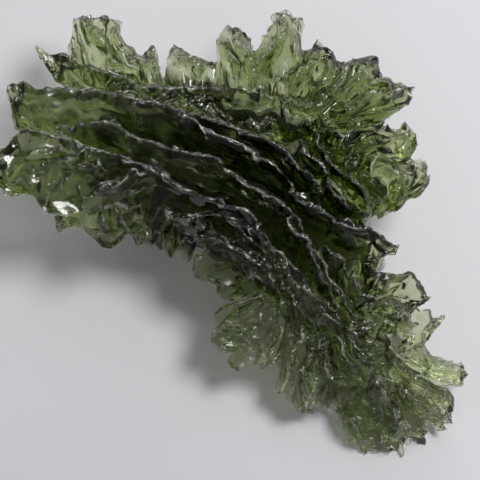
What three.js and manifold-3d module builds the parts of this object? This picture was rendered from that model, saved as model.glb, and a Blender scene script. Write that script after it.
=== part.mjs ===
// A natural moldavite of the spiny kind: one piece of green impact glass that acids in the ground have
// etched into long leaning fins, with gorges between them and spikes where the fins run out. Millimetres,
// +Z up.
//
// The stone is laid out face-on first: x to the right, y up across its face, h out of the face. Then it
// is leaned back by LEAN and set down on the tips of its underside. Its origin is under the middle of its
// box.
import * as THREE from "three";
import { mergeVertices } from "three/addons/utils/BufferGeometryUtils.js";
import Module from "manifold-3d";

const wasm = await Module();
wasm.setup();

const LEAN = THREE.MathUtils.degToRad(8); // how far the face leans back from level when the stone rests
const FLOOR = -6.6; // height of the resting plane under the laid-out stone's origin, once it has leaned
const EDGE = 0.34; // thickness of a fin along its crest
const END_FULLNESS = 0.85; // share of its full root thickness that a fin keeps at its two ends
const FLARE = 0.6; // how soon a fin thickens on the way from its crest to its root: the lower, the sooner
const LONG_RIBS = 12; // a fin of this many ribs or more is a long one
const BENT_CHEEKS = [0, 0.4, 1]; // where a long fin's cheeks bend, as shares of the way from crest to root
const FLAT_CHEEKS = [0, 1]; // any other fin's cheeks run straight from its crest to its root
const CORE_SIDES = 10; // facets round the core
const CREASE_GAP = 0.01; // creases nearer to each other than this are one crease

// The thick glass that all the fins grow from: x, y, h, half-width across the flow, half-depth through
// the face.
const CORE = [
  [-11.5, 5.6, 2.2, 1.4, 1.0],
  [-8.0, 5.2, 0.6, 3.0, 1.9],
  [-4.0, 4.3, -0.2, 4.1, 2.5],
  [0.0, 3.2, -0.8, 4.8, 2.9],
  [4.0, 1.5, -1.1, 4.8, 2.7],
  [6.8, -2.0, -1.5, 3.8, 1.9],
  [8.6, -6.4, -2.3, 1.9, 0.5],
  [10.2, -10.2, -3.1, 1.2, 0.35],
  [11.6, -13.4, -3.7, 0.8, 0.3],
];

// Each fin: its thickness at the root, one or several evenly along it, and its ribs from end to end. A
// rib is written from the crest to the root: crest x, y, h, then root x, y, h. The fins are listed from
// the face's upper edge down, then round the rim, then the low ones that stand on them.
const FINS = [
  // The long fins of the face, from the top one down.
  // top fin
  { root: [2.0, 1.4, 1.3], ribs: [
    [-16.3, 15.3, 3.2, -16.1, 15.0, 3.0], [-14.6, 14.8, 3.0, -14.6, 13.4, 1.6],
    [-12.0, 13.9, 2.7, -13.2, 11.6, 0.4], [-9.6, 13.0, 2.4, -10.8, 10.2, -0.4],
    [-6.8, 12.2, 2.2, -7.6, 8.8, -1.0], [-3.2, 12.3, 1.9, -3.8, 7.6, -1.5],
    [0.8, 11.9, 1.7, 0.4, 6.2, -1.5], [4.8, 10.9, 1.3, 4.4, 5.0, -1.5],
    [6.4, 10.4, 0.9, 6.4, 4.6, -1.5],
  ] },
  // second fin
  { root: [3.4, 2.0, 1.4, 1.2], ribs: [
    [-18.5, 12.6, 4.6, -17.9, 9.4, 3.0], [-16.6, 12.2, 4.5, -16.0, 8.6, 2.2],
    [-13.6, 12.0, 4.4, -12.8, 7.8, 1.2], [-10.8, 11.8, 4.2, -10.0, 7.2, 0.5],
    [-8.2, 11.2, 4.0, -7.2, 6.6, 0.0], [-5.8, 10.6, 4.0, -4.8, 6.0, -0.5],
    [-3.2, 9.9, 3.9, -2.2, 5.4, -1.0], [-0.5, 9.0, 3.8, 0.0, 4.6, -1.0],
    [2.0, 8.0, 3.7, 2.0, 3.8, -1.0], [4.0, 6.9, 3.4, 3.6, 3.0, -1.0],
    [5.0, 5.4, 3.0, 4.8, 2.0, -1.0], [6.6, 4.2, 2.7, 6.0, 1.0, -1.0],
  ] },
  // third fin
  { root: 1.4, ribs: [
    [-6.0, 10.3, 4.0, -5.4, 7.2, 1.0], [-4.0, 9.7, 4.1, -3.6, 6.0, 0.5],
    [-2.2, 8.6, 4.3, -2.0, 5.2, 0.5], [-0.6, 7.9, 4.3, -0.4, 4.4, 0.3],
    [1.0, 7.1, 4.2, 1.0, 3.8, 0.0], [2.4, 6.2, 4.0, 2.2, 3.0, 0.0],
    [3.7, 4.9, 3.8, 3.4, 2.0, 0.0], [4.8, 3.3, 3.5, 4.8, 0.6, -0.3],
    [6.6, 2.2, 3.1, 6.2, -0.4, -0.5], [8.4, 1.4, 2.8, 8.0, -1.0, -0.3],
    [10.6, 0.7, 2.5, 9.6, -1.4, 0.2], [12.2, -0.1, 2.3, 11.2, -1.3, 1.0],
    [12.7, -0.5, 2.4, 12.6, -0.6, 2.2],
  ] },
  // fourth fin
  { root: [2.2, 1.4, 1.3, 1.0], ribs: [
    [-14.6, 8.9, 4.7, -14.2, 8.0, 4.0], [-12.4, 9.1, 4.7, -11.8, 6.4, 2.0],
    [-10.2, 9.3, 4.7, -9.6, 5.6, 1.2], [-8.2, 8.2, 4.8, -7.4, 4.8, 1.0],
    [-6.0, 7.4, 4.8, -5.2, 4.0, 0.8], [-4.0, 7.0, 4.7, -3.2, 3.4, 0.5],
    [-2.1, 6.5, 4.7, -1.6, 2.8, 0.4], [-0.8, 5.5, 4.8, -0.4, 2.2, 0.2],
    [0.8, 4.2, 4.7, 0.8, 1.4, 0.0], [2.6, 3.4, 4.4, 2.2, 0.4, 0.0],
    [3.8, 2.5, 4.0, 3.4, -0.6, -0.4], [5.0, 0.9, 3.4, 4.5, -2.2, -0.8],
    [6.0, -0.8, 2.8, 5.4, -3.6, -1.2], [7.0, -2.6, 2.3, 6.4, -4.8, -1.5],
    [8.2, -4.4, 1.7, 7.6, -6.2, -1.8], [9.4, -6.8, 1.0, 8.8, -8.0, -1.8],
    [11.2, -8.6, 0.5, 10.6, -9.6, -1.8], [12.8, -9.8, -0.1, 12.4, -10.8, -2.0],
    [14.0, -11.0, -0.9, 13.8, -11.6, -2.0],
  ] },
  // front fin
  { root: [3.2, 2.6, 2.0, 1.6, 1.2], ribs: [
    [-19.8, 7.0, 5.9, -19.8, 5.4, 5.2], [-18.2, 7.7, 5.8, -18.6, 4.2, 4.6],
    [-17.0, 8.8, 5.8, -16.5, 3.8, 4.2], [-15.6, 8.6, 5.8, -15.2, 2.6, 3.6],
    [-14.2, 8.2, 5.8, -13.1, 2.7, 3.2], [-12.0, 7.4, 6.0, -10.9, 3.5, 2.8],
    [-9.6, 6.6, 6.0, -9.0, 4.8, 2.5], [-7.2, 5.7, 6.1, -6.6, 5.4, 2.0],
    [-5.1, 4.4, 6.0, -4.6, 4.4, 1.6], [-3.2, 3.5, 6.0, -2.8, 3.6, 1.2],
    [-1.2, 2.9, 5.9, -1.2, 2.6, 0.8], [0.5, 2.3, 5.6, 0.2, 0.9, 0.6],
    [1.6, 0.8, 5.0, 1.2, -1.2, 0.4], [2.6, -0.8, 4.4, 2.1, -3.2, 0.0],
    [3.8, -2.4, 3.6, 3.4, -4.8, -0.6], [5.2, -4.2, 2.8, 4.6, -6.2, -1.2],
    [6.8, -5.8, 2.1, 6.2, -7.6, -1.8], [8.2, -8.4, 1.3, 7.8, -9.6, -2.0],
    [9.8, -10.8, 0.6, 9.4, -11.6, -2.4], [11.2, -12.8, -0.3, 10.8, -13.4, -2.8],
    [12.4, -14.8, -1.6, 12.2, -15.2, -3.0],
  ] },

  // Low ridges that fan out across the left lobe of the front fin.
  // lobe ridge 1
  { root: 1.1, ribs: [
    [-19.5, 4.8, 5.5, -19.5, 4.6, 5.0], [-17.6, 5.8, 6.3, -17.4, 5.0, 4.6],
    [-15.6, 6.8, 6.6, -15.2, 5.8, 4.8], [-14.1, 7.5, 6.5, -13.6, 6.6, 5.0],
  ] },
  // lobe ridge 2
  { root: 1.1, ribs: [
    [-16.9, 4.6, 5.7, -16.8, 4.4, 5.0], [-15.0, 5.7, 6.4, -14.8, 4.9, 4.4],
    [-13.2, 6.8, 6.6, -12.8, 5.8, 4.6], [-11.8, 7.2, 6.5, -11.4, 6.4, 5.0],
  ] },
  // lobe ridge 3
  { root: 1.1, ribs: [
    [-15.8, 2.9, 4.8, -15.8, 2.8, 4.1], [-14.4, 4.3, 5.9, -14.1, 3.5, 3.8],
    [-12.8, 5.5, 6.3, -12.3, 4.6, 4.2], [-11.2, 6.5, 6.4, -10.7, 5.6, 4.8],
  ] },
  // lobe ridge 4
  { root: 1.1, ribs: [
    [-14.2, 2.3, 4.1, -14.2, 2.1, 3.4], [-12.4, 3.4, 5.1, -12.2, 2.5, 3.2],
    [-10.6, 4.3, 5.7, -10.2, 3.3, 3.6], [-8.6, 5.0, 6.0, -8.2, 4.0, 4.0],
    [-7.0, 5.4, 6.1, -6.6, 4.5, 4.4],
  ] },
  // lobe ridge 5
  { root: 1.1, ribs: [
    [-18.8, 3.9, 4.9, -18.8, 3.7, 4.3], [-17.4, 4.7, 5.7, -17.2, 4.0, 4.2],
    [-16.0, 5.4, 6.2, -15.8, 4.6, 4.4], [-14.6, 6.3, 6.5, -14.3, 5.4, 4.8],
  ] },

  // Spikes and lobes along the upper edge, left to right.
  // crown lobe
  { root: 1.4, ribs: [
    [-13.9, 15.2, 0.2, -12.8, 13.2, 0.8], [-13.7, 16.2, 0.0, -12.4, 12.9, 0.8],
    [-13.0, 18.2, -0.4, -11.8, 12.6, 0.8], [-12.0, 18.0, -0.5, -11.2, 12.4, 0.8],
    [-10.7, 18.2, -0.4, -10.6, 12.2, 0.8], [-10.2, 16.8, -0.1, -9.8, 12.0, 0.9],
    [-9.6, 15.3, 0.2, -9.0, 11.8, 1.0],
  ] },
  // crown teeth
  { root: 1.5, ribs: [
    [-9.6, 15.2, 0.5, -9.0, 12.0, 1.0], [-8.7, 15.5, 0.5, -8.4, 11.8, 1.0],
    [-8.1, 14.6, 0.6, -7.8, 11.6, 1.0], [-7.5, 15.3, 0.5, -7.2, 11.4, 1.0],
    [-7.0, 14.7, 0.6, -6.6, 11.3, 1.0], [-6.2, 13.1, 0.8, -5.8, 11.2, 1.0],
  ] },
  // curled lobe
  { root: 1.3, ribs: [
    [-6.2, 13.0, 0.4, -6.0, 11.6, 0.6], [-5.9, 14.4, 0.2, -5.6, 11.4, 0.6],
    [-5.5, 15.3, 0.0, -5.1, 11.3, 0.5], [-5.0, 15.5, -0.1, -4.5, 11.2, 0.4],
    [-4.0, 15.0, -0.1, -3.6, 11.1, 0.4], [-2.8, 14.4, -0.1, -2.4, 11.0, 0.4],
    [-2.0, 14.4, 0.0, -1.4, 10.8, 0.4],
  ] },
  // crown spike 1
  { root: 1.6, ribs: [
    [-1.7, 14.6, 0.6, -1.6, 11.4, 0.4], [-1.6, 15.8, 0.6, -1.3, 11.2, 0.3],
    [-1.4, 16.8, 0.5, -0.9, 11.1, 0.2], [-0.6, 17.3, 0.4, -0.4, 11.0, 0.2],
    [-0.1, 16.9, 0.4, 0.1, 10.9, 0.2], [0.5, 16.3, 0.3, 0.6, 10.8, 0.2],
    [1.0, 16.2, 0.2, 1.0, 10.7, 0.2], [1.2, 14.8, 0.2, 1.4, 10.6, 0.2],
  ] },
  // crown spike 2
  { root: 1.6, ribs: [
    [1.0, 14.6, 1.0, 1.6, 11.0, 0.2], [1.9, 15.8, 0.9, 2.0, 11.0, 0.1],
    [2.6, 17.0, 0.8, 2.4, 10.9, 0.0], [3.0, 18.1, 0.7, 2.8, 10.9, 0.0],
    [3.9, 18.5, 0.6, 3.2, 10.8, 0.0], [4.3, 17.6, 0.6, 3.6, 10.8, 0.0],
    [4.5, 16.0, 0.6, 4.0, 10.7, 0.0], [4.7, 14.2, 0.6, 4.4, 10.6, 0.0],
  ] },
  // crown spike 3
  { root: 2.2, ribs: [
    [3.7, 13.1, 1.2, 4.0, 10.6, 0.8], [4.8, 14.4, 1.1, 4.6, 10.6, 0.7],
    [5.7, 15.2, 0.9, 5.1, 10.6, 0.6], [6.4, 15.9, 0.7, 5.6, 10.6, 0.6],
    [7.0, 15.5, 0.6, 6.1, 10.6, 0.5], [7.3, 14.6, 0.6, 6.6, 10.6, 0.5],
  ] },

  // The broad leaf at the upper right and its two ribs.
  // leaf
  { root: 4.6, ribs: [
    [7.3, 14.7, 0.4, 5.3, 11.0, 0.5], [8.4, 14.4, 0.3, 5.5, 10.8, 0.4],
    [9.4, 14.7, 0.2, 5.8, 10.6, 0.3], [10.6, 14.8, 0.0, 6.0, 10.4, 0.2],
    [11.2, 13.9, 0.0, 6.2, 10.2, 0.1], [11.8, 12.9, -0.2, 6.5, 9.9, 0.0],
    [12.7, 12.6, -0.4, 6.6, 9.6, 0.0], [14.2, 11.6, -0.8, 6.8, 9.3, -0.1],
    [13.2, 10.6, -0.6, 6.9, 8.9, -0.2], [12.0, 9.8, -0.3, 6.9, 8.5, -0.3],
    [10.8, 8.8, 0.0, 6.8, 8.1, -0.4], [9.4, 8.7, 0.2, 6.6, 7.7, -0.5],
  ] },
  // leaf rib 1
  { root: 1.2, ribs: [
    [4.2, 10.9, 2.4, 4.2, 10.2, 0.0], [6.2, 11.2, 2.8, 6.6, 10.6, 0.0],
    [7.4, 12.4, 2.6, 7.8, 11.8, 0.0], [8.5, 13.6, 2.0, 9.0, 13.1, 0.0],
    [9.4, 14.7, 0.8, 9.5, 14.4, 0.2],
  ] },
  // leaf rib 2
  { root: 1.1, ribs: [
    [7.6, 9.8, 1.7, 7.7, 9.0, -0.2], [9.0, 10.7, 1.8, 9.2, 9.8, -0.2],
    [10.6, 11.8, 1.6, 10.9, 10.8, -0.2], [12.0, 12.2, 0.8, 12.2, 11.4, -0.3],
    [13.9, 11.7, -0.4, 13.9, 11.5, -0.7],
  ] },

  // Fingers of the right-hand edge.
  // finger 1
  { root: 2.4, ribs: [
    [6.2, 8.6, 1.6, 6.0, 5.0, -0.8], [9.2, 8.9, 1.5, 9.2, 6.0, -0.5],
    [11.2, 8.6, 1.3, 11.2, 6.2, -0.3], [12.6, 8.7, 1.2, 12.6, 6.5, -0.1],
    [13.4, 9.2, 1.1, 13.8, 7.2, 0.2], [14.1, 8.8, 0.9, 14.2, 7.9, 0.5],
  ] },
  // finger 2
  { root: 2.4, ribs: [
    [8.4, 6.0, 1.8, 8.4, 1.8, -0.8], [10.0, 6.4, 1.6, 9.9, 1.6, -0.6],
    [11.4, 6.4, 1.3, 11.2, 2.5, -0.4], [12.8, 6.2, 1.1, 12.6, 3.0, -0.2],
    [14.2, 6.2, 0.8, 13.8, 3.7, 0.0], [14.9, 5.6, 0.5, 14.6, 4.3, 0.1],
    [15.4, 5.0, 0.3, 15.3, 4.9, 0.2],
  ] },
  // shoulder ridge 1
  { root: 1.2, ribs: [
    [4.8, 9.3, 2.6, 4.6, 8.4, -0.5], [6.2, 8.0, 2.9, 5.8, 7.0, -0.5],
    [7.2, 6.4, 2.9, 6.8, 5.4, -0.5], [8.4, 5.0, 2.6, 8.0, 3.9, -0.5],
    [9.8, 4.0, 2.1, 9.4, 2.8, -0.4], [10.8, 3.0, 1.2, 10.6, 2.2, -0.2],
  ] },
  // shoulder ridge 2
  { root: 1.2, ribs: [
    [5.0, 8.0, 3.2, 4.6, 6.8, -0.5], [6.0, 6.0, 3.4, 5.4, 4.8, -0.5],
    [7.6, 4.0, 3.1, 7.0, 2.8, -0.5], [8.8, 2.6, 2.6, 8.2, 1.4, -0.4],
    [9.9, 1.5, 1.8, 9.4, 0.8, -0.2],
  ] },

  // Fins of the tail, along its upper edge and round its end.
  // tail fin 1
  { root: 1.2, ribs: [
    [9.0, -0.8, 1.5, 7.6, -2.8, -0.8], [10.2, -1.6, 1.3, 8.8, -3.6, -1.0],
    [11.5, -2.3, 1.0, 10.1, -4.2, -1.1], [12.8, -2.9, 0.7, 11.5, -4.8, -1.1],
    [14.1, -3.4, 0.4, 13.0, -5.2, -0.9], [14.9, -4.1, 0.1, 14.2, -5.1, -0.5],
    [15.4, -4.5, 0.0, 15.2, -4.7, -0.1],
  ] },
  // tail fin 2
  { root: 1.2, ribs: [
    [11.6, -4.6, 0.0, 10.4, -6.0, -1.4], [13.2, -5.1, -0.3, 11.8, -6.9, -1.7],
    [14.6, -5.4, -0.6, 13.3, -7.8, -1.9], [15.7, -5.6, -0.9, 14.6, -8.2, -1.9],
    [16.4, -6.2, -1.1, 15.5, -7.0, -1.5],
  ] },
  // tail fan
  { root: 0.55, ribs: [
    [14.6, -8.2, -1.6, 12.6, -8.4, -1.6], [15.8, -9.4, -2.0, 12.8, -9.0, -1.7],
    [17.0, -9.8, -2.3, 13.0, -9.4, -1.8], [18.3, -11.0, -2.8, 13.1, -9.9, -2.0],
    [17.1, -12.2, -2.9, 13.1, -10.5, -2.2], [17.4, -13.8, -3.2, 13.0, -11.0, -2.4],
    [16.7, -15.0, -3.4, 12.9, -11.5, -2.6], [15.2, -15.3, -3.4, 12.6, -12.0, -2.8],
  ] },
  // tail tip
  { root: 0.5, ribs: [
    [15.0, -14.8, -3.6, 12.8, -12.2, -2.8], [15.1, -16.6, -4.0, 12.5, -12.5, -2.9],
    [13.6, -17.0, -4.2, 12.1, -12.7, -3.0], [12.6, -17.4, -4.4, 11.6, -12.9, -3.1],
    [10.9, -17.5, -4.5, 11.0, -13.0, -3.1], [9.6, -16.6, -4.3, 10.5, -12.9, -3.0],
    [8.4, -15.8, -4.0, 9.9, -12.6, -2.9], [8.3, -14.4, -3.6, 9.4, -12.2, -2.8],
    [8.2, -13.0, -3.2, 9.0, -11.7, -2.6],
  ] },
  // tail ridge 1
  { root: 0.65, ribs: [
    [8.6, -2.5, 1.8, 8.0, -3.8, -0.9], [10.6, -4.6, 1.2, 9.7, -6.3, -0.7],
    [12.0, -6.0, 0.6, 11.1, -7.7, -0.9], [13.4, -7.6, -0.2, 12.5, -9.3, -1.1],
    [14.6, -8.8, -1.2, 14.0, -9.6, -1.7],
  ] },

  // Plates below the middle.
  // lower plate 1
  { root: 0.6, ribs: [
    [-1.4, -5.0, -0.5, 1.8, -4.0, 0.0], [-2.2, -6.1, -0.8, 2.1, -4.5, 0.0],
    [-1.8, -7.2, -1.0, 2.2, -5.0, 0.0], [-2.6, -8.1, -1.2, 2.4, -5.4, -0.2],
    [-1.4, -8.8, -1.3, 2.6, -5.8, -0.3], [-0.9, -9.9, -1.5, 2.9, -6.2, -0.4],
    [-0.5, -10.6, -1.6, 3.1, -6.6, -0.5], [0.5, -10.7, -1.7, 3.4, -6.9, -0.6],
    [1.8, -10.3, -1.7, 3.8, -7.2, -0.7], [3.0, -10.1, -1.6, 4.2, -7.5, -0.8],
  ] },
  // lower plate 2
  { root: 0.65, ribs: [
    [3.1, -10.1, -1.2, 3.8, -5.6, 0.0], [3.0, -11.5, -1.6, 4.2, -6.0, -0.2],
    [3.3, -12.7, -2.0, 4.6, -6.4, -0.4], [4.1, -13.4, -2.2, 5.1, -6.8, -0.6],
    [5.2, -13.8, -2.4, 5.7, -7.1, -0.8], [6.2, -13.7, -2.4, 6.3, -7.4, -1.0],
    [7.0, -13.4, -2.4, 7.0, -7.6, -1.2], [7.8, -12.6, -2.3, 7.6, -7.8, -1.4],
    [8.3, -11.6, -2.2, 8.2, -8.1, -1.6],
  ] },
  // hub knob
  { root: 2.2, ribs: [
    [-3.8, -1.4, 0.5, -0.4, 0.0, 0.5], [-3.9, -2.4, 0.8, 0.0, -1.0, 0.6],
    [-3.4, -3.3, 0.6, 0.5, -1.8, 0.6], [-2.4, -3.5, 0.4, 0.8, -2.6, 0.4],
    [-1.8, -4.1, 0.2, 1.1, -3.4, 0.2], [-1.3, -4.9, 0.0, 1.4, -4.3, 0.0],
  ] },
  // hub ridge 1
  { root: 0.7, ribs: [
    [-5.4, 2.2, 4.0, -5.2, 1.4, 2.0], [-4.4, 1.7, 4.3, -4.2, 0.8, 1.4],
    [-3.2, 2.0, 4.5, -3.0, 0.8, 1.4], [-1.4, 1.9, 4.7, -1.4, 0.6, 1.2],
    [0.0, 1.4, 4.7, -0.1, 0.0, 1.0], [1.2, 0.3, 4.5, 0.9, -1.0, 0.6],
  ] },
  // hub ridge 2
  { root: 0.7, ribs: [
    [-3.5, 0.7, 3.4, -3.4, 0.2, 1.4], [-2.0, -0.1, 3.7, -1.9, -0.9, 0.8],
    [-0.4, -0.5, 3.8, -0.4, -1.6, 0.6], [0.8, -1.0, 3.8, 0.7, -2.2, 0.4],
    [1.8, -1.8, 3.6, 1.5, -3.0, 0.0], [3.2, -2.9, 3.2, 2.8, -4.2, -0.5],
  ] },
  // hub ridge 3
  { root: 0.7, ribs: [
    [-3.0, -0.3, 2.6, -2.8, -0.8, 1.0], [-1.8, -0.9, 2.9, -1.6, -1.8, 0.6],
    [-0.4, -1.4, 3.0, -0.3, -2.6, 0.4], [1.0, -2.2, 2.9, 1.0, -3.4, 0.0],
    [2.4, -3.6, 2.6, 2.2, -4.8, -0.4], [3.6, -5.0, 2.2, 3.4, -6.2, -0.8],
  ] },
  // hanging lobes
  { root: 2.6, ribs: [
    [-8.3, 0.8, 0.5, -7.2, 4.0, 1.5], [-7.4, -0.8, 0.0, -6.4, 3.2, 1.2],
    [-6.8, -0.1, 0.0, -5.8, 2.8, 1.0], [-5.8, -1.8, -0.5, -5.0, 2.4, 0.8],
    [-5.0, -1.3, -0.5, -4.2, 2.0, 0.5], [-4.0, -1.4, -0.8, -3.2, 1.4, 0.3],
  ] },
  // side plate
  { root: 2.4, ribs: [
    [-14.6, 1.8, 2.8, -14.6, 0.7, 1.8], [-13.2, 2.6, 3.2, -12.8, 0.6, 1.2],
    [-11.6, 3.0, 3.4, -10.8, 0.4, 0.8], [-10.0, 2.7, 3.2, -9.0, 1.0, 0.2],
    [-8.0, 2.4, 3.0, -7.2, 0.2, -0.5],
  ] },
  // hub ridge 4
  { root: 0.7, ribs: [
    [-1.0, 1.9, 4.6, -1.2, 1.2, 1.6], [-0.6, 1.4, 4.8, -0.8, 0.4, 1.2],
    [0.4, 0.2, 4.7, 0.1, -0.8, 1.0], [1.8, -0.8, 4.4, 1.4, -1.9, 0.6],
    [2.6, -1.4, 4.2, 2.2, -2.6, 0.3], [3.7, -2.2, 3.8, 3.3, -3.4, -0.3],
  ] },
  // hub ridge 5
  { root: 0.7, ribs: [
    [-3.2, 1.8, 3.9, -3.1, 1.2, 1.8], [-2.2, 0.8, 4.1, -2.1, 0.0, 1.2],
    [-1.2, -0.2, 4.1, -1.1, -1.0, 0.8], [0.0, -0.9, 4.0, 0.0, -1.8, 0.4],
    [1.8, -1.8, 3.7, 1.7, -2.8, 0.0], [3.0, -2.9, 3.4, 2.8, -4.0, -0.4],
  ] },
  // hub ridge 6
  { root: 0.7, ribs: [
    [-0.4, -0.2, 3.3, -0.4, -0.8, 1.4], [0.6, -0.6, 3.5, 0.5, -1.4, 1.0],
    [1.4, -1.0, 3.6, 1.2, -2.0, 0.8], [2.6, -2.0, 3.4, 2.3, -3.2, 0.2],
    [4.0, -3.9, 3.0, 3.6, -5.0, -0.6],
  ] },
  // tail ridge 2
  { root: 0.65, ribs: [
    [4.0, 2.0, 4.2, 3.4, 0.4, 0.7], [4.6, 0.6, 4.0, 3.6, -1.7, 0.7],
    [5.4, -0.2, 3.6, 4.3, -2.7, 0.3], [6.1, -1.8, 3.0, 4.9, -4.1, -0.1],
    [6.9, -3.5, 2.5, 5.7, -5.7, -0.5], [8.0, -5.2, 1.8, 7.1, -6.8, -1.3],
  ] },
  // tail ridge 3
  { root: 0.65, ribs: [
    [2.4, -0.2, 4.2, 1.8, -1.6, 0.7], [3.4, -1.2, 4.0, 2.4, -3.3, 0.7],
    [4.6, -2.4, 3.5, 3.6, -4.6, 0.3], [5.6, -3.9, 3.0, 4.5, -6.1, -0.1],
    [6.8, -4.8, 2.6, 5.8, -6.9, -0.5], [8.2, -6.6, 1.9, 7.2, -8.5, -0.9],
    [9.4, -8.4, 1.3, 8.4, -10.3, -1.3], [10.6, -10.4, 0.7, 9.9, -11.6, -1.9],
  ] },
  // tail ridge 4
  { root: 0.65, ribs: [
    [6.8, -0.2, 2.5, 6.0, -1.8, -0.3], [7.8, -1.2, 2.3, 6.7, -3.3, -0.1],
    [8.8, -2.8, 2.0, 7.7, -4.7, -0.3], [9.6, -4.4, 1.6, 8.6, -6.3, -0.5],
    [10.8, -6.2, 1.1, 9.8, -8.1, -0.7], [12.0, -8.0, 0.6, 11.0, -9.7, -0.9],
    [13.2, -9.6, -0.2, 12.6, -10.6, -1.5],
  ] },
  // tail ridge 5
  { root: 0.65, ribs: [
    [8.6, -7.6, 2.0, 8.0, -9.0, -1.1], [9.8, -9.2, 1.6, 8.9, -11.1, -1.1],
    [11.0, -11.0, 1.0, 10.1, -12.9, -1.5], [12.2, -12.8, 0.2, 11.3, -14.5, -1.9],
    [13.2, -14.4, -0.8, 12.4, -15.9, -2.3], [13.8, -15.8, -2.0, 13.4, -16.6, -3.1],
  ] },

  // Keels that give the spikes and lobes of the upper edge their pyramid shape.
  // crown lobe keel 1
  { root: 1.5, ribs: [
    [-12.5, 17.9, 0.5, -12.4, 17.8, 0.0], [-11.9, 17.0, 1.2, -11.8, 16.8, -0.1],
    [-11.1, 15.8, 1.8, -11.1, 15.7, 0.0], [-10.2, 14.7, 2.2, -10.3, 14.6, 0.2],
    [-9.4, 13.8, 2.2, -9.5, 13.6, 0.3],
  ] },
  // crown lobe keel 2
  { root: 1.6, ribs: [
    [-10.8, 18.0, 0.5, -10.8, 17.8, 0.0], [-10.3, 17.0, 1.3, -10.4, 16.8, -0.1],
    [-9.7, 15.8, 1.9, -9.8, 15.7, 0.0], [-8.8, 14.7, 2.2, -8.9, 14.6, 0.2],
    [-7.8, 13.9, 2.2, -7.9, 13.8, 0.3],
  ] },
  // spike 1 keel
  { root: 1.7, ribs: [
    [-0.5, 17.0, 0.8, -0.5, 16.8, 0.3], [-0.2, 16.2, 1.4, -0.5, 16.0, -0.2],
    [0.2, 15.0, 2.0, -0.2, 14.9, -0.4], [1.0, 13.8, 2.3, 0.5, 13.6, -0.4],
    [1.8, 12.5, 2.3, 1.3, 12.3, -0.4],
  ] },
  // spike 2 keel
  { root: 2.2, ribs: [
    [3.6, 18.2, 1.1, 3.6, 17.9, 0.5], [3.3, 17.1, 1.8, 3.4, 17.0, -0.1],
    [2.8, 15.8, 2.4, 3.0, 15.7, -0.4], [2.1, 14.6, 2.7, 2.4, 14.4, -0.5],
    [1.3, 13.3, 2.8, 1.7, 13.1, -0.5],
  ] },
  // spike 3 keel
  { root: 2.2, ribs: [
    [6.5, 15.7, 1.2, 6.5, 15.4, 0.6], [6.1, 14.9, 2.0, 6.2, 14.7, 0.0],
    [5.4, 13.9, 2.6, 5.6, 13.8, -0.3], [4.6, 13.0, 2.8, 4.8, 12.8, -0.4],
    [3.7, 12.2, 2.8, 4.0, 12.0, -0.4],
  ] },
  // finger 1 keel
  { root: 2, ribs: [
    [13.8, 8.7, 1.4, 13.7, 8.6, 0.8], [12.8, 8.2, 1.8, 12.8, 8.1, 0.2],
    [11.7, 8.0, 2.0, 11.7, 7.8, -0.2], [10.4, 7.9, 2.2, 10.4, 7.8, -0.4],
    [9.0, 8.0, 2.1, 9.0, 7.8, -0.6],
  ] },
  // finger 2 keel
  { root: 2, ribs: [
    [15.0, 5.3, 1.0, 15.0, 5.1, 0.4], [14.1, 5.4, 1.5, 14.1, 5.3, 0.0],
    [13.0, 5.4, 1.9, 13.0, 5.3, -0.3], [11.8, 5.6, 2.1, 11.8, 5.4, -0.4],
    [10.6, 5.9, 2.1, 10.6, 5.8, -0.6],
  ] },
];

// Fins of the underside, which follow the core. Each one: its thickness at the root; how far it stands to
// the side of the core's line (up the face is positive); the shares of that line where it starts and
// ends; how far its root rises into the stone; and the clearance of its tips and gaps above the resting
// plane. The lowest tips are worn flat there.
const UNDER_FINS = [
  [
    1.6, 6.2, 0.02, 0.6, 1.6,
    [6.2, 3.0, 3.6, 1.2, 2.4, 0.6, 1.7, -0.5, 1.5, 0.9, 2.8, 2.2, 5.4],
  ],
  [
    1.8, 3.2, 0.0, 0.7, 1.4,
    [6.4, 3.2, 3.4, -0.4, 1.6, 0.5, 2.0, 0.3, 1.8, 0.4, 2.2, 1.0, 3.0, 2.2, 4.6],
  ],
  [
    1.1, 0.2, 0.02, 0.74, 1.0,
    [6.4, 3.6, 3.8, 1.4, 2.2, -0.3, 1.5, 0.5, 1.6, 0.6, 2.0, 0.8, 2.2, 1.2, 1.8, 1.0, 2.2],
  ],
  [
    0.6, -2.6, 0.06, 0.97, 1.0,
    [5.6, 3.2, 3.6, 1.4, 2.2, -0.3, 1.9, 0.9, 1.8, 0.7, 1.4, 0.6, 1.2, -0.4, 0.7, -0.3, 0.9],
  ],
];
const UNDER_SPLAY = 1.4; // how much further out than their roots these fins' tips stand

// Straight out of the face.
const OUT = new THREE.Vector3(0, 0, 1);

const curveThrough = (points) => new THREE.CatmullRomCurve3(points, false, "catmullrom");
const coreLine = curveThrough(CORE.map(([x, y, h]) => new THREE.Vector3(x, y, h)));

// A closed skin over equal rings of points, with its two ends closed by fans.
function skin(rings) {
  const around = rings[0].length;
  const indices = [];
  for (let i = 0; i + 1 < rings.length; i++) {
    for (let j = 0; j < around; j++) {
      const a = i * around + j;
      const b = i * around + ((j + 1) % around);
      indices.push(a, b, b + around, a, b + around, a + around);
    }
  }
  const last = (rings.length - 1) * around;
  for (let j = 1; j + 1 < around; j++) {
    indices.push(0, j + 1, j);
    indices.push(last, last + j, last + j + 1);
  }
  const geometry = new THREE.BufferGeometry();
  const coordinates = rings.flat().flatMap((point) => point.toArray());
  geometry.setAttribute("position", new THREE.Float32BufferAttribute(coordinates, 3));
  geometry.setIndex(indices);
  return geometry;
}

// One value out of several spread evenly along a fin, read at a share of its length.
function readAlong(values, share) {
  const place = share * (values.length - 1);
  const before = Math.floor(place);
  const after = Math.ceil(place);
  return THREE.MathUtils.lerp(values[before], values[after], place - before);
}

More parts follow.
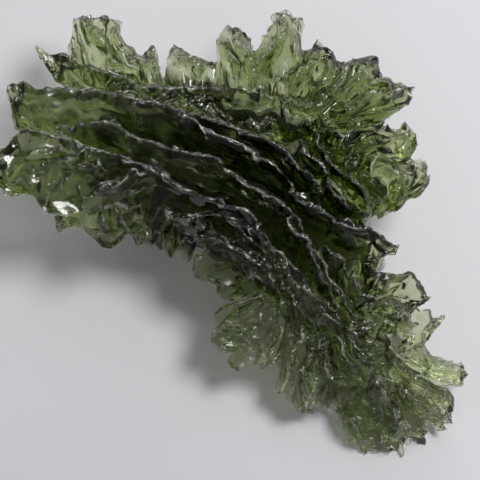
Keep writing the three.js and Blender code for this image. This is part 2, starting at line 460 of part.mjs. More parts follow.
// A fin's skin, from its crest points to its root points: thin at the crest, flaring to the root, thinner
// at its ends.
function finGeometry(rootThicknesses, crestPoints, rootPoints) {
  const crest = curveThrough(crestPoints);
  const root = curveThrough(rootPoints);
  const last = crestPoints.length - 1;
  const across = crestPoints.length < LONG_RIBS ? FLAT_CHEEKS : BENT_CHEEKS;
  const rings = crestPoints.map((top, i) => {
    const along = crest.getTangent(i / last).add(root.getTangent(i / last));
    const normal = along.cross(rootPoints[i].clone().sub(top)).normalize();
    const fullness = Math.min(1, END_FULLNESS + (1 - END_FULLNESS) * Math.min(i, last - i));
    const gain = (readAlong(rootThicknesses, i / last) - EDGE) * fullness;
    const cheek = (side) => across.map((share) => {
      const thickness = EDGE + gain * share ** FLARE;
      return top.clone().lerp(rootPoints[i], share).addScaledVector(normal, (side * thickness) / 2);
    });
    return [...cheek(1), ...cheek(-1).reverse()];
  });
  return skin(rings);
}

function listedFin({ root, ribs }) {
  const crestPoints = ribs.map(([x, y, h]) => new THREE.Vector3(x, y, h));
  const rootPoints = ribs.map((rib) => new THREE.Vector3(rib[3], rib[4], rib[5]));
  return finGeometry([root].flat(), crestPoints, rootPoints);
}

function underFin([rootThickness, side, from, to, rise, clearances]) {
  const crestPoints = [];
  const rootPoints = [];
  clearances.forEach((clearance, i) => {
    const share = THREE.MathUtils.lerp(from, to, i / (clearances.length - 1));
    const middle = coreLine.getPoint(share);
    const upFace = OUT.clone().cross(coreLine.getTangent(share)).normalize();
    rootPoints.push(middle.clone().addScaledVector(upFace, side).addScaledVector(OUT, rise));
    const tip = middle.clone().addScaledVector(upFace, side * UNDER_SPLAY);
    tip.z = (FLOOR + clearance - tip.y * Math.sin(LEAN)) / Math.cos(LEAN);
    crestPoints.push(tip);
  });
  return finGeometry([rootThickness], crestPoints, rootPoints);
}

// The core's skin: ellipses square to its line.
function coreGeometry() {
  return skin(CORE.map(([x, y, h, halfWidth, halfDepth], i) => {
    const upFace = OUT.clone().cross(coreLine.getTangent(i / (CORE.length - 1))).normalize();
    return Array.from({ length: CORE_SIDES }, (_, j) => {
      const turn = (2 * Math.PI * j) / CORE_SIDES;
      return new THREE.Vector3(x, y, h)
        .addScaledVector(upFace, halfWidth * Math.cos(turn))
        .addScaledVector(OUT, halfDepth * Math.sin(turn));
    });
  }));
}

// A block that reaches far past the stone in every direction above the resting plane.
function roomAboveFloor() {
  const reach = 100;
  return new THREE.BoxGeometry(reach, reach, reach).translate(0, 0, FLOOR + reach / 2);
}

// A closed geometry as a manifold-3d solid, turned outwards if its rings ran the other way.
function solid(geometry) {
  geometry.deleteAttribute("normal");
  geometry.deleteAttribute("uv");
  const merged = mergeVertices(geometry);
  const vertProperties = merged.attributes.position.array;
  const triVerts = new Uint32Array(merged.index.array);
  const made = new wasm.Manifold(new wasm.Mesh({ numProp: 3, vertProperties, triVerts }));
  if (made.volume() > 0) return made;
  triVerts.reverse();
  return new wasm.Manifold(new wasm.Mesh({ numProp: 3, vertProperties, triVerts }));
}

// The whole stone, joined into one solid, leaned back and cut off at the resting plane. Where fins lean
// together they can shut a tiny pocket in, and the stone is solid there: its outer skin holds the most,
// so that one is kept.
function stoneSolid() {
  const grown = [coreGeometry(), ...FINS.map(listedFin), ...UNDER_FINS.map(underFin)];
  const leaned = grown.map((geometry) => solid(geometry.rotateX(LEAN)));
  const joined = leaned.reduce((stone, fin) => stone.add(fin)).intersect(solid(roomAboveFloor()));
  const creased = joined.simplify(CREASE_GAP);
  const [outerSkin] = creased.decompose().sort((a, b) => b.volume() - a.volume());
  return outerSkin;
}

// The stone's faces, with the origin moved under the middle of its box.
function stoneGeometry() {
  const { numProp, numVert, triVerts, vertProperties } = stoneSolid().getMesh();
  const positions = new Float32Array(numVert * 3);
  for (let i = 0; i < numVert; i++) {
    positions.set(vertProperties.subarray(i * numProp, i * numProp + 3), i * 3);
  }
  const geometry = new THREE.BufferGeometry();
  geometry.setAttribute("position", new THREE.BufferAttribute(positions, 3));
  geometry.setIndex(new THREE.BufferAttribute(triVerts, 1));
  geometry.computeBoundingBox();
  const { min, max } = geometry.boundingBox;
  geometry.translate(-(min.x + max.x) / 2, -(min.y + max.y) / 2, -min.z);
  geometry.computeVertexNormals();
  return geometry;
}

const bottleGreenGlass = new THREE.MeshStandardMaterial({ color: 0x4c5c2a, roughness: 0.12, metalness: 0 });
const moldavite = new THREE.Mesh(stoneGeometry(), bottleGreenGlass);
moldavite.name = "moldavite";

const group = new THREE.Group();
group.add(moldavite);

export default group;
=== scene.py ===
import math

import bmesh
import bpy
import numpy as np
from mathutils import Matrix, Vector


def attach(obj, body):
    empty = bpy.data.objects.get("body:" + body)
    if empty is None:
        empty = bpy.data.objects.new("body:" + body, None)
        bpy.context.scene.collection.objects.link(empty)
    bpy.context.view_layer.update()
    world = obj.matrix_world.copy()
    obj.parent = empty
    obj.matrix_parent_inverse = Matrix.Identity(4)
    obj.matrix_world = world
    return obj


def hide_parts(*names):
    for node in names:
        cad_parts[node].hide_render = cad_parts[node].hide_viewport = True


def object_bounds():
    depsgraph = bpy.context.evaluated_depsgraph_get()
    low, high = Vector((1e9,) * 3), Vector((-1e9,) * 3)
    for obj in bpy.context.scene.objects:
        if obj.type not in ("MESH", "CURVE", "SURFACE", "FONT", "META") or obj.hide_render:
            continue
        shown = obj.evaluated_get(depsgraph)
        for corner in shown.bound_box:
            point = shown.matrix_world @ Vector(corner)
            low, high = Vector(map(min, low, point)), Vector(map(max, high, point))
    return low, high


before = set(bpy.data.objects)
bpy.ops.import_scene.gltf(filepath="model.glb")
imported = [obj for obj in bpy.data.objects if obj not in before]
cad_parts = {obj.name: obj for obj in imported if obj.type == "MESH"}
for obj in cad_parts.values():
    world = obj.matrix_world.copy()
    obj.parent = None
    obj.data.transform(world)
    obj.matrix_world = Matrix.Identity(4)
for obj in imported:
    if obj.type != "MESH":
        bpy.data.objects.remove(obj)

cad_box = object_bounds()

# --------------------------------------
# The table and the light. A wide sheet of plain pale card takes the stone's shadow. One round lamp at the
# upper right gives the glints and the shadow, and three wide, dim windows and the room soften it.

MM = 0.001
TABLE_WIDTH = 3.0
TABLE_DROP = 0.04 * MM  # the card lies a hair under the stone's worn tips, so that they never share a face
CARD_TINT = (0.69, 0.69, 0.71, 1)
CARD_ROUGHNESS = 0.9
LAMPS = {  # place, width, power in watts
    "window": ((0.075, 0.12, 0.185), 0.15, 0.08),
    "round_lamp": ((0.10, 0.05, 0.2), 0.08, 0.34),
    "far_window": ((0.06, 0.36, 0.09), 0.2, 0.5),
    "left_window": ((-0.24, -0.12, 0.22), 0.12, 0.05),
}
LAMP_TARGET = Vector((0, 0, 0.006))
ROOM_TINT = (0.93, 0.95, 1.0, 1)
ROOM_BRIGHTNESS = 0.2


def pale_card():
    card = bpy.data.materials.new("pale_card")
    card.use_nodes = True
    shader = card.node_tree.nodes["Principled BSDF"]
    shader.inputs["Base Color"].default_value = CARD_TINT
    shader.inputs["Roughness"].default_value = CARD_ROUGHNESS
    return card


def lay_table():
    half = TABLE_WIDTH / 2
    corners = [(-half, -half), (half, -half), (half, half), (-half, half)]
    mesh = bpy.data.meshes.new("table_card")
    mesh.from_pydata([(x, y, -TABLE_DROP) for x, y in corners], [], [(0, 1, 2, 3)])
    mesh.materials.append(pale_card())
    table = bpy.data.objects.new("table_card", mesh)
    bpy.context.collection.objects.link(table)


def hang_lamp(name, place, width, watts):
    lamp = bpy.data.lights.new(name, "AREA")
    lamp.shape = "DISK"
    lamp.size = width
    lamp.energy = watts
    holder = bpy.data.objects.new(name, lamp)
    holder.location = place
    holder.rotation_euler = (LAMP_TARGET - Vector(place)).to_track_quat("-Z", "Y").to_euler()
    bpy.context.collection.objects.link(holder)


def light_room():
    room = bpy.data.worlds.new("room")
    room.use_nodes = True
    sky = room.node_tree.nodes["Background"]
    sky.inputs["Color"].default_value = ROOM_TINT
    sky.inputs["Strength"].default_value = ROOM_BRIGHTNESS
    bpy.context.scene.world = room
    bpy.context.scene.view_settings.view_transform = "Standard"


lay_table()
light_room()
for name, (place, width, watts) in LAMPS.items():
    hang_lamp(name, place, width, watts)

# --------------------------------------
# How the stone lies. Its face leans a little back from level, and the camera looks straight down on it
# through a long lens. Everything on the stone is told face-on in millimetres: x right, y up the face, h out
# of it.

LEAN = math.radians(8)  # how far the face leans back from level
STONE_MIDDLE = np.array([0.851, -0.810, 6.6]) * MM  # where the face-on zero comes to lie
CAMERA_DISTANCE = 0.28
CAMERA_FOCUS_RISE = 0.9 * MM  # the distance is told from a point this far out of the face
CAMERA_CLIP = 0.01
FRAME_WIDTH = 38.4 * MM  # what the frame takes in at the stone's middle
SENSOR_WIDTH = 36.0


def lie_down(points):
    """Takes face-on points to where they come to lie, in metres."""
    x, y, h = np.moveaxis(np.asarray(points, float), -1, 0)
    back = y * math.cos(LEAN) - h * math.sin(LEAN)
    up = y * math.sin(LEAN) + h * math.cos(LEAN)
    return np.stack([x, back, up], -1) * MM + STONE_MIDDLE


def set_camera():
    lens = bpy.data.cameras.new("camera")
    lens.sensor_width = SENSOR_WIDTH
    lens.lens = SENSOR_WIDTH * CAMERA_DISTANCE / FRAME_WIDTH
    lens.clip_start = CAMERA_CLIP
    camera = bpy.data.objects.new("camera", lens)
    face = Vector((0, -math.sin(LEAN), math.cos(LEAN)))
    camera.location = Vector(STONE_MIDDLE) + face * (CAMERA_DISTANCE + CAMERA_FOCUS_RISE)
    camera.rotation_euler = (-face).to_track_quat("-Z", "Y").to_euler()
    bpy.context.collection.objects.link(camera)
    bpy.context.scene.camera = camera


set_camera()

# --------------------------------------
# The core: the thick, nearly black glass that every fin stands on. It froze from one splash of melt thrown
# up by a meteorite, and it bends from the raised left fan down to the tail. It is a bar of round section.

STEP = 0.2  # millimetres between points on every skin
CORE = np.array([  # x, y, h, half-width across the flow, half-depth through the face
    (-11.5, 5.6, 2.2, 1.4, 1.0), (-8.0, 5.2, 0.6, 3.0, 1.9), (-4.0, 4.3, -0.2, 4.1, 2.5),
    (0.0, 3.2, -0.8, 4.8, 2.9), (4.0, 1.5, -1.1, 4.8, 2.7), (6.8, -2.0, -1.5, 3.8, 1.9),
    (8.6, -6.4, -2.3, 1.9, 0.5), (10.2, -10.2, -3.1, 1.2, 0.35), (11.6, -13.4, -3.7, 0.8, 0.3),
])
CORE_SIDES = 60
CORE_GIRTH = 3.5  # the radius that the flow lines round the core are laid out for
CORE_GLANCE = 0.01  # share of the core's length looked along, either way, to tell which way it runs
OUT = np.array([0.0, 0.0, 1.0])  # straight out of the face
grown = []  # every closed skin of the stone, with what the etching needs to know at each of its points


def flowing(points, shares):
    """The smooth line through points, read at shares of its way from 0 to 1."""
    p = np.vstack([2 * points[0] - points[1], points, 2 * points[-1] - points[-2]])
    at = np.asarray(shares) * (len(points) - 1)
    i = np.minimum(at.astype(int), len(points) - 2)
    t = (at - i)[:, None]
    a, b, c, d = p[i], p[i + 1], p[i + 2], p[i + 3]
    return 0.5 * (2 * b + (c - a) * t + (2 * a - 5 * b + 4 * c - d) * t**2 + (3 * b - a - 3 * c + d) * t**3)


def lengths_along(line):
    return np.concatenate([[0], np.cumsum(np.linalg.norm(np.diff(line, axis=0), axis=1))])


def unit(vectors):
    return vectors / np.maximum(np.linalg.norm(vectors, axis=-1, keepdims=True), 1e-9)


def ring_faces(rings, around):
    """Quads round a closed skin of equal rings, with each end closed by one face."""
    i, j = np.meshgrid(np.arange(rings - 1), np.arange(around), indexing="ij")
    a, b = i * around + j, i * around + (j + 1) % around
    sides = np.stack([a, b, b + around, a + around], -1).reshape(-1, 4).tolist()
    last = (rings - 1) * around
    return sides + [list(range(around))[::-1], list(range(last, last + around))]


def keep_skin(points, **told_there):
    """Keeps a skin. Points are rings by places round a ring; the rest is told at each, or once for all."""
    rings, around = points.shape[:2]
    skin = {"points": points.reshape(-1, 3), "faces": ring_faces(rings, around)}
    for name, value in told_there.items():
        if name in ("outward", "stand", "retreat", "flow"):
            skin[name] = np.broadcast_to(value, points.shape).reshape(-1, 3)
        else:
            skin[name] = np.broadcast_to(value, (rings, around)).reshape(-1)
    grown.append(skin)


def core_point(share):
    """A place on the core's line, with its half-width and half-depth, and the way up the face from it."""
    near = flowing(CORE, np.clip([share - CORE_GLANCE, share, share + CORE_GLANCE], 0, 1))
    return near[1], unit(np.cross(OUT, near[2, :3] - near[0, :3]))


def grow_core():
    rings = round(lengths_along(CORE[:, :3])[-1] / STEP)
    turn = np.linspace(0, 2 * math.pi, CORE_SIDES, endpoint=False)
    points, outward = [], []
    for share in np.linspace(0, 1, rings + 1):
        (x, y, h, half_width, half_depth), up_face = core_point(share)
        spoke = half_width * np.cos(turn)[:, None] * up_face + half_depth * np.sin(turn)[:, None] * OUT
        points.append(np.array([x, y, h]) + spoke)
        outward.append(unit(spoke))
    along = np.arange(rings + 1)[:, None] * STEP
    flow = np.stack(np.broadcast_arrays(along, turn[None, :] * CORE_GIRTH, 0.0), -1)
    keep_skin(
        np.array(points), outward=np.array(outward), stand=0.0, retreat=0.0, flow=flow,
        along=along, thick=1.0, pleat=0.0,
    )


grow_core()

# --------------------------------------
# The long fins of the face, from the upper edge down. Each is a thin leaning blade of glass, which acids in
# the ground left standing between two gullies. It is listed by its ribs, which run from its crest to its
# root: crest x, y, h, then root x, y, h.

EDGE = 0.34  # thickness of a fin along its crest
END_FULLNESS = 0.85  # share of its full root thickness that a fin keeps at its two ends
FLARE = 0.6  # how soon a fin thickens on the way from its crest to its root
SHARP_LIP = 0.9 * EDGE  # a crest that is blunter than this is rounded up by the difference
STEPS_BETWEEN_RIBS = 24  # places at which a crest's length is measured
FEWEST_RINGS = 8
FEWEST_STEPS = 4
NEXT_FIN = 31.7  # how far on each fin lies in the pattern, so that no two have the same teeth
NEXT_GROOVES = 23.9
OTHER_CHEEK = 11.3
END_PLEAT = 0.7  # how much a long fin crumples at its two ends
PLEAT_FALL = 0.25  # how much less it crumples a rib further in
LEAST_PLEAT = 0.06
SPIKE_PLEAT = 0.75  # how much a fin with grooves down it crumples
FRAYED = 1.6  # times as much for the thin, frayed sheets


def grow(root, ribs, grooves="along", edge=EDGE, crumple=1.0):
    """One fin, root millimetres thick where it leaves the stone. Its grooves run along it or down it."""
    ribs = np.array(ribs, float)
    fine = np.linspace(0, 1, STEPS_BETWEEN_RIBS * len(ribs))
    run = lengths_along(flowing(ribs[:, :3], fine))
    rings = max(FEWEST_RINGS, round(run[-1] / STEP))
    shares = np.interp(np.linspace(0, run[-1], rings + 1), run, fine)
    crest, foot = flowing(ribs[:, :3], shares), flowing(ribs[:, 3:], shares)
    drop = np.linalg.norm(foot - crest, axis=1)
    steps = max(FEWEST_STEPS, round(drop.max() / STEP))
    down = np.linspace(0, 1, steps + 1)
    rise = unit(crest - foot)
    normal = unit(np.cross(np.gradient(crest, axis=0) + np.gradient(foot, axis=0), foot - crest))

    from_end = np.minimum(shares, 1 - shares) * (len(ribs) - 1)
    fullness = np.minimum(1, END_FULLNESS + (1 - END_FULLNESS) * from_end)
    roots = np.atleast_1d(root)
    root = np.interp(shares, np.linspace(0, 1, len(roots)), roots)
    half = (edge + ((root - edge) * fullness)[:, None] * down**FLARE) / 2
    sheet = crest[:, None] + (foot - crest)[:, None] * down[:, None]
    cheek = normal[:, None] * half[..., None]
    lip = crest[:, None] + rise[:, None] * (edge - SHARP_LIP)
    points = np.concatenate([lip, sheet + cheek, (sheet - cheek)[:, ::-1]], 1)

    side = np.concatenate([[0], np.ones(steps + 1), -np.ones(steps + 1)])
    pull = (1 - np.concatenate([[0], down, down[::-1]])) ** 2
    depth = drop[:, None] * np.concatenate([[0], down, down[::-1]])
    along = lengths_along(crest)[:, None] + NEXT_FIN * len(grown)
    length = np.broadcast_to(along, depth.shape)
    if grooves == "along":
        flow = (length, depth + OTHER_CHEEK * side, 0 * depth)
        pleat = np.clip(END_PLEAT - PLEAT_FALL * from_end, LEAST_PLEAT, 1)[:, None]
    else:
        flow = (depth + NEXT_GROOVES * len(grown), length + OTHER_CHEEK * side, 0 * depth)
        pleat = SPIKE_PLEAT
    keep_skin(
        points, outward=normal[:, None] * side[:, None], stand=normal[:, None],
        retreat=-rise[:, None] * pull[:, None], flow=np.stack(flow, -1), along=along,
        thick=np.concatenate([half[:, :1], half, half[:, ::-1]], 1), pleat=crumple * pleat,
    )


# top fin
grow((2.0, 1.4, 1.3), [
    (-16.3, 15.3, 3.2, -16.1, 15, 3), (-14.6, 14.8, 3, -14.6, 13.4, 1.6), (-12, 13.9, 2.7, -13.2, 11.6, 0.4),
    (-9.6, 13, 2.4, -10.8, 10.2, -0.4), (-6.8, 12.2, 2.2, -7.6, 8.8, -1), (-3.2, 12.3, 1.9, -3.8, 7.6, -1.5),
    (0.8, 11.9, 1.7, 0.4, 6.2, -1.5), (4.8, 10.9, 1.3, 4.4, 5, -1.5), (6.4, 10.4, 0.9, 6.4, 4.6, -1.5),
])
# second fin
grow((3.4, 2.0, 1.4, 1.2), [
    (-18.5, 12.6, 4.6, -17.9, 9.4, 3), (-16.6, 12.2, 4.5, -16, 8.6, 2.2), (-13.6, 12, 4.4, -12.8, 7.8, 1.2),
    (-10.8, 11.8, 4.2, -10, 7.2, 0.5), (-8.2, 11.2, 4, -7.2, 6.6, 0), (-5.8, 10.6, 4, -4.8, 6, -0.5),
    (-3.2, 9.9, 3.9, -2.2, 5.4, -1), (-0.5, 9, 3.8, 0, 4.6, -1), (2, 8, 3.7, 2, 3.8, -1),
    (4, 6.9, 3.4, 3.6, 3, -1), (5, 5.4, 3, 4.8, 2, -1), (6.6, 4.2, 2.7, 6, 1, -1),
])
# third fin
grow(1.4, [
    (-6, 10.3, 4, -5.4, 7.2, 1), (-4, 9.7, 4.1, -3.6, 6, 0.5), (-2.2, 8.6, 4.3, -2, 5.2, 0.5),
    (-0.6, 7.9, 4.3, -0.4, 4.4, 0.3), (1, 7.1, 4.2, 1, 3.8, 0), (2.4, 6.2, 4, 2.2, 3, 0),
    (3.7, 4.9, 3.8, 3.4, 2, 0), (4.8, 3.3, 3.5, 4.8, 0.6, -0.3), (6.6, 2.2, 3.1, 6.2, -0.4, -0.5),
    (8.4, 1.4, 2.8, 8, -1, -0.3), (10.6, 0.7, 2.5, 9.6, -1.4, 0.2), (12.2, -0.1, 2.3, 11.2, -1.3, 1),
    (12.7, -0.5, 2.4, 12.6, -0.6, 2.2),
])
# fourth fin
grow((2.2, 1.4, 1.3, 1.0), [
    (-14.6, 8.9, 4.7, -14.2, 8, 4), (-12.4, 9.1, 4.7, -11.8, 6.4, 2), (-10.2, 9.3, 4.7, -9.6, 5.6, 1.2),
    (-8.2, 8.2, 4.8, -7.4, 4.8, 1), (-6, 7.4, 4.8, -5.2, 4, 0.8), (-4, 7, 4.7, -3.2, 3.4, 0.5),
    (-2.1, 6.5, 4.7, -1.6, 2.8, 0.4), (-0.8, 5.5, 4.8, -0.4, 2.2, 0.2), (0.8, 4.2, 4.7, 0.8, 1.4, 0),
    (2.6, 3.4, 4.4, 2.2, 0.4, 0), (3.8, 2.5, 4, 3.4, -0.6, -0.4), (5, 0.9, 3.4, 4.5, -2.2, -0.8),
    (6, -0.8, 2.8, 5.4, -3.6, -1.2), (7, -2.6, 2.3, 6.4, -4.8, -1.5), (8.2, -4.4, 1.7, 7.6, -6.2, -1.8),
    (9.4, -6.8, 1, 8.8, -8, -1.8), (11.2, -8.6, 0.5, 10.6, -9.6, -1.8), (12.8, -9.8, -0.1, 12.4, -10.8, -2),
    (14, -11, -0.9, 13.8, -11.6, -2),
])
# front fin
grow((3.2, 2.6, 2.0, 1.6, 1.2), [
    (-19.8, 7, 5.9, -19.8, 5.4, 5.2), (-18.2, 7.7, 5.8, -18.6, 4.2, 4.6), (-17, 8.8, 5.8, -16.5, 3.8, 4.2),
    (-15.6, 8.6, 5.8, -15.2, 2.6, 3.6), (-14.2, 8.2, 5.8, -13.1, 2.7, 3.2), (-12, 7.4, 6, -10.9, 3.5, 2.8),
    (-9.6, 6.6, 6, -9, 4.8, 2.5), (-7.2, 5.7, 6.1, -6.6, 5.4, 2), (-5.1, 4.4, 6, -4.6, 4.4, 1.6),
    (-3.2, 3.5, 6, -2.8, 3.6, 1.2), (-1.2, 2.9, 5.9, -1.2, 2.6, 0.8), (0.5, 2.3, 5.6, 0.2, 0.9, 0.6),
    (1.6, 0.8, 5, 1.2, -1.2, 0.4), (2.6, -0.8, 4.4, 2.1, -3.2, 0), (3.8, -2.4, 3.6, 3.4, -4.8, -0.6),
    (5.2, -4.2, 2.8, 4.6, -6.2, -1.2), (6.8, -5.8, 2.1, 6.2, -7.6, -1.8), (8.2, -8.4, 1.3, 7.8, -9.6, -2),
    (9.8, -10.8, 0.6, 9.4, -11.6, -2.4), (11.2, -12.8, -0.3, 10.8, -13.4, -2.8),
    (12.4, -14.8, -1.6, 12.2, -15.2, -3),
])

# --------------------------------------
# The lobe at the raised left end of the front fin. It is a thin, bowed sheet of glass, and low ridges fan
# out across it, which the acid left standing between shallow gullies. They end in its wavy rim.

# lobe ridge 1
grow(1.1, [
    (-19.5, 4.8, 5.5, -19.5, 4.6, 5), (-17.6, 5.8, 6.3, -17.4, 5, 4.6), (-15.6, 6.8, 6.6, -15.2, 5.8, 4.8),
    (-14.1, 7.5, 6.5, -13.6, 6.6, 5),
])
# lobe ridge 2
grow(1.1, [
    (-16.9, 4.6, 5.7, -16.8, 4.4, 5), (-15, 5.7, 6.4, -14.8, 4.9, 4.4), (-13.2, 6.8, 6.6, -12.8, 5.8, 4.6),
    (-11.8, 7.2, 6.5, -11.4, 6.4, 5),
])
# lobe ridge 3
grow(1.1, [
    (-15.8, 2.9, 4.8, -15.8, 2.8, 4.1), (-14.4, 4.3, 5.9, -14.1, 3.5, 3.8),
    (-12.8, 5.5, 6.3, -12.3, 4.6, 4.2), (-11.2, 6.5, 6.4, -10.7, 5.6, 4.8),
])
# lobe ridge 4
grow(1.1, [
    (-14.2, 2.3, 4.1, -14.2, 2.1, 3.4), (-12.4, 3.4, 5.1, -12.2, 2.5, 3.2),
    (-10.6, 4.3, 5.7, -10.2, 3.3, 3.6), (-8.6, 5, 6, -8.2, 4, 4), (-7, 5.4, 6.1, -6.6, 4.5, 4.4),
])
# lobe ridge 5
grow(1.1, [
    (-18.8, 3.9, 4.9, -18.8, 3.7, 4.3), (-17.4, 4.7, 5.7, -17.2, 4, 4.2), (-16, 5.4, 6.2, -15.8, 4.6, 4.4),
    (-14.6, 6.3, 6.5, -14.3, 5.4, 4.8),
])

# --------------------------------------
# The crown: the spikes and lobes along the upper edge, from left to right. They are sheets of glass with
# deep notches between them. They stand out level from the core, and their grooves run down them from their
# tips.

# crown lobe
grow(1.4, [
    (-13.9, 15.2, 0.2, -12.8, 13.2, 0.8), (-13.7, 16.2, 0, -12.4, 12.9, 0.8),
    (-13, 18.2, -0.4, -11.8, 12.6, 0.8), (-12, 18, -0.5, -11.2, 12.4, 0.8),
    (-10.7, 18.2, -0.4, -10.6, 12.2, 0.8), (-10.2, 16.8, -0.1, -9.8, 12, 0.9), (-9.6, 15.3, 0.2, -9, 11.8, 1),
], grooves="down")
# crown teeth
grow(1.5, [
    (-9.6, 15.2, 0.5, -9, 12, 1), (-8.7, 15.5, 0.5, -8.4, 11.8, 1), (-8.1, 14.6, 0.6, -7.8, 11.6, 1),
    (-7.5, 15.3, 0.5, -7.2, 11.4, 1), (-7, 14.7, 0.6, -6.6, 11.3, 1), (-6.2, 13.1, 0.8, -5.8, 11.2, 1),
], grooves="down")
# curled lobe
grow(1.3, [
    (-6.2, 13, 0.4, -6, 11.6, 0.6), (-5.9, 14.4, 0.2, -5.6, 11.4, 0.6), (-5.5, 15.3, 0, -5.1, 11.3, 0.5),
    (-5, 15.5, -0.1, -4.5, 11.2, 0.4), (-4, 15, -0.1, -3.6, 11.1, 0.4), (-2.8, 14.4, -0.1, -2.4, 11, 0.4),
    (-2, 14.4, 0, -1.4, 10.8, 0.4),
], grooves="down")
# crown spike 1
grow(1.6, [
    (-1.7, 14.6, 0.6, -1.6, 11.4, 0.4), (-1.6, 15.8, 0.6, -1.3, 11.2, 0.3),
    (-1.4, 16.8, 0.5, -0.9, 11.1, 0.2), (-0.6, 17.3, 0.4, -0.4, 11, 0.2), (-0.1, 16.9, 0.4, 0.1, 10.9, 0.2),
    (0.5, 16.3, 0.3, 0.6, 10.8, 0.2), (1, 16.2, 0.2, 1, 10.7, 0.2), (1.2, 14.8, 0.2, 1.4, 10.6, 0.2),
], grooves="down")
# crown spike 2
grow(1.6, [
    (1, 14.6, 1, 1.6, 11, 0.2), (1.9, 15.8, 0.9, 2, 11, 0.1), (2.6, 17, 0.8, 2.4, 10.9, 0),
    (3, 18.1, 0.7, 2.8, 10.9, 0), (3.9, 18.5, 0.6, 3.2, 10.8, 0), (4.3, 17.6, 0.6, 3.6, 10.8, 0),
    (4.5, 16, 0.6, 4, 10.7, 0), (4.7, 14.2, 0.6, 4.4, 10.6, 0),
], grooves="down")
# crown spike 3
grow(2.2, [
    (3.7, 13.1, 1.2, 4, 10.6, 0.8), (4.8, 14.4, 1.1, 4.6, 10.6, 0.7), (5.7, 15.2, 0.9, 5.1, 10.6, 0.6),
    (6.4, 15.9, 0.7, 5.6, 10.6, 0.6), (7, 15.5, 0.6, 6.1, 10.6, 0.5), (7.3, 14.6, 0.6, 6.6, 10.6, 0.5),
], grooves="down")

# --------------------------------------
# The broad leaf at the upper right. It is one wide, thin sheet of glass that fans out from the core, and
# two raised ribs run along it to its tips.

# leaf
grow(4.6, [
    (7.3, 14.7, 0.4, 5.3, 11, 0.5), (8.4, 14.4, 0.3, 5.5, 10.8, 0.4), (9.4, 14.7, 0.2, 5.8, 10.6, 0.3),
    (10.6, 14.8, 0, 6, 10.4, 0.2), (11.2, 13.9, 0, 6.2, 10.2, 0.1), (11.8, 12.9, -0.2, 6.5, 9.9, 0),
    (12.7, 12.6, -0.4, 6.6, 9.6, 0), (14.2, 11.6, -0.8, 6.8, 9.3, -0.1), (13.2, 10.6, -0.6, 6.9, 8.9, -0.2),
    (12, 9.8, -0.3, 6.9, 8.5, -0.3), (10.8, 8.8, 0, 6.8, 8.1, -0.4), (9.4, 8.7, 0.2, 6.6, 7.7, -0.5),
], grooves="down")
# leaf rib 1
grow(1.2, [
    (4.2, 10.9, 2.4, 4.2, 10.2, 0), (6.2, 11.2, 2.8, 6.6, 10.6, 0), (7.4, 12.4, 2.6, 7.8, 11.8, 0),
    (8.5, 13.6, 2, 9, 13.1, 0), (9.4, 14.7, 0.8, 9.5, 14.4, 0.2),
])
# leaf rib 2
grow(1.1, [
    (7.6, 9.8, 1.7, 7.7, 9, -0.2), (9, 10.7, 1.8, 9.2, 9.8, -0.2), (10.6, 11.8, 1.6, 10.9, 10.8, -0.2),
    (12, 12.2, 0.8, 12.2, 11.4, -0.3), (13.9, 11.7, -0.4, 13.9, 11.5, -0.7),
])

# --------------------------------------
# The two fingers of the right-hand edge, thick stubs of clear glass with a deep notch between them. The
# shoulder that they come out of has two ridges of its own.

# finger 1
grow(2.4, [
    (6.2, 8.6, 1.6, 6, 5, -0.8), (9.2, 8.9, 1.5, 9.2, 6, -0.5), (11.2, 8.6, 1.3, 11.2, 6.2, -0.3),
    (12.6, 8.7, 1.2, 12.6, 6.5, -0.1), (13.4, 9.2, 1.1, 13.8, 7.2, 0.2), (14.1, 8.8, 0.9, 14.2, 7.9, 0.5),
], grooves="down", crumple=FRAYED)
# finger 2
grow(2.4, [
    (8.4, 6, 1.8, 8.4, 1.8, -0.8), (10, 6.4, 1.6, 9.9, 1.6, -0.6), (11.4, 6.4, 1.3, 11.2, 2.5, -0.4),
    (12.8, 6.2, 1.1, 12.6, 3, -0.2), (14.2, 6.2, 0.8, 13.8, 3.7, 0), (14.9, 5.6, 0.5, 14.6, 4.3, 0.1),
    (15.4, 5, 0.3, 15.3, 4.9, 0.2),
], grooves="down", crumple=FRAYED)
# shoulder ridge 1
grow(1.2, [
    (4.8, 9.3, 2.6, 4.6, 8.4, -0.5), (6.2, 8, 2.9, 5.8, 7, -0.5), (7.2, 6.4, 2.9, 6.8, 5.4, -0.5),
    (8.4, 5, 2.6, 8, 3.9, -0.5), (9.8, 4, 2.1, 9.4, 2.8, -0.4), (10.8, 3, 1.2, 10.6, 2.2, -0.2),
])
# shoulder ridge 2
grow(1.2, [
    (5, 8, 3.2, 4.6, 6.8, -0.5), (6, 6, 3.4, 5.4, 4.8, -0.5), (7.6, 4, 3.1, 7, 2.8, -0.5),
    (8.8, 2.6, 2.6, 8.2, 1.4, -0.4), (9.9, 1.5, 1.8, 9.4, 0.8, -0.2),
])

# --------------------------------------
# The rim of the tail: two small fins on its upper edge, the fan at its corner and the rounded tip. All are
# thin sheets that the acid frayed, so that the card shows through them. A ridge runs down behind them.

# tail fin 1
grow(1.2, [
    (9, -0.8, 1.5, 7.6, -2.8, -0.8), (10.2, -1.6, 1.3, 8.8, -3.6, -1), (11.5, -2.3, 1, 10.1, -4.2, -1.1),
    (12.8, -2.9, 0.7, 11.5, -4.8, -1.1), (14.1, -3.4, 0.4, 13, -5.2, -0.9),
    (14.9, -4.1, 0.1, 14.2, -5.1, -0.5), (15.4, -4.5, 0, 15.2, -4.7, -0.1),
], grooves="down", crumple=FRAYED)
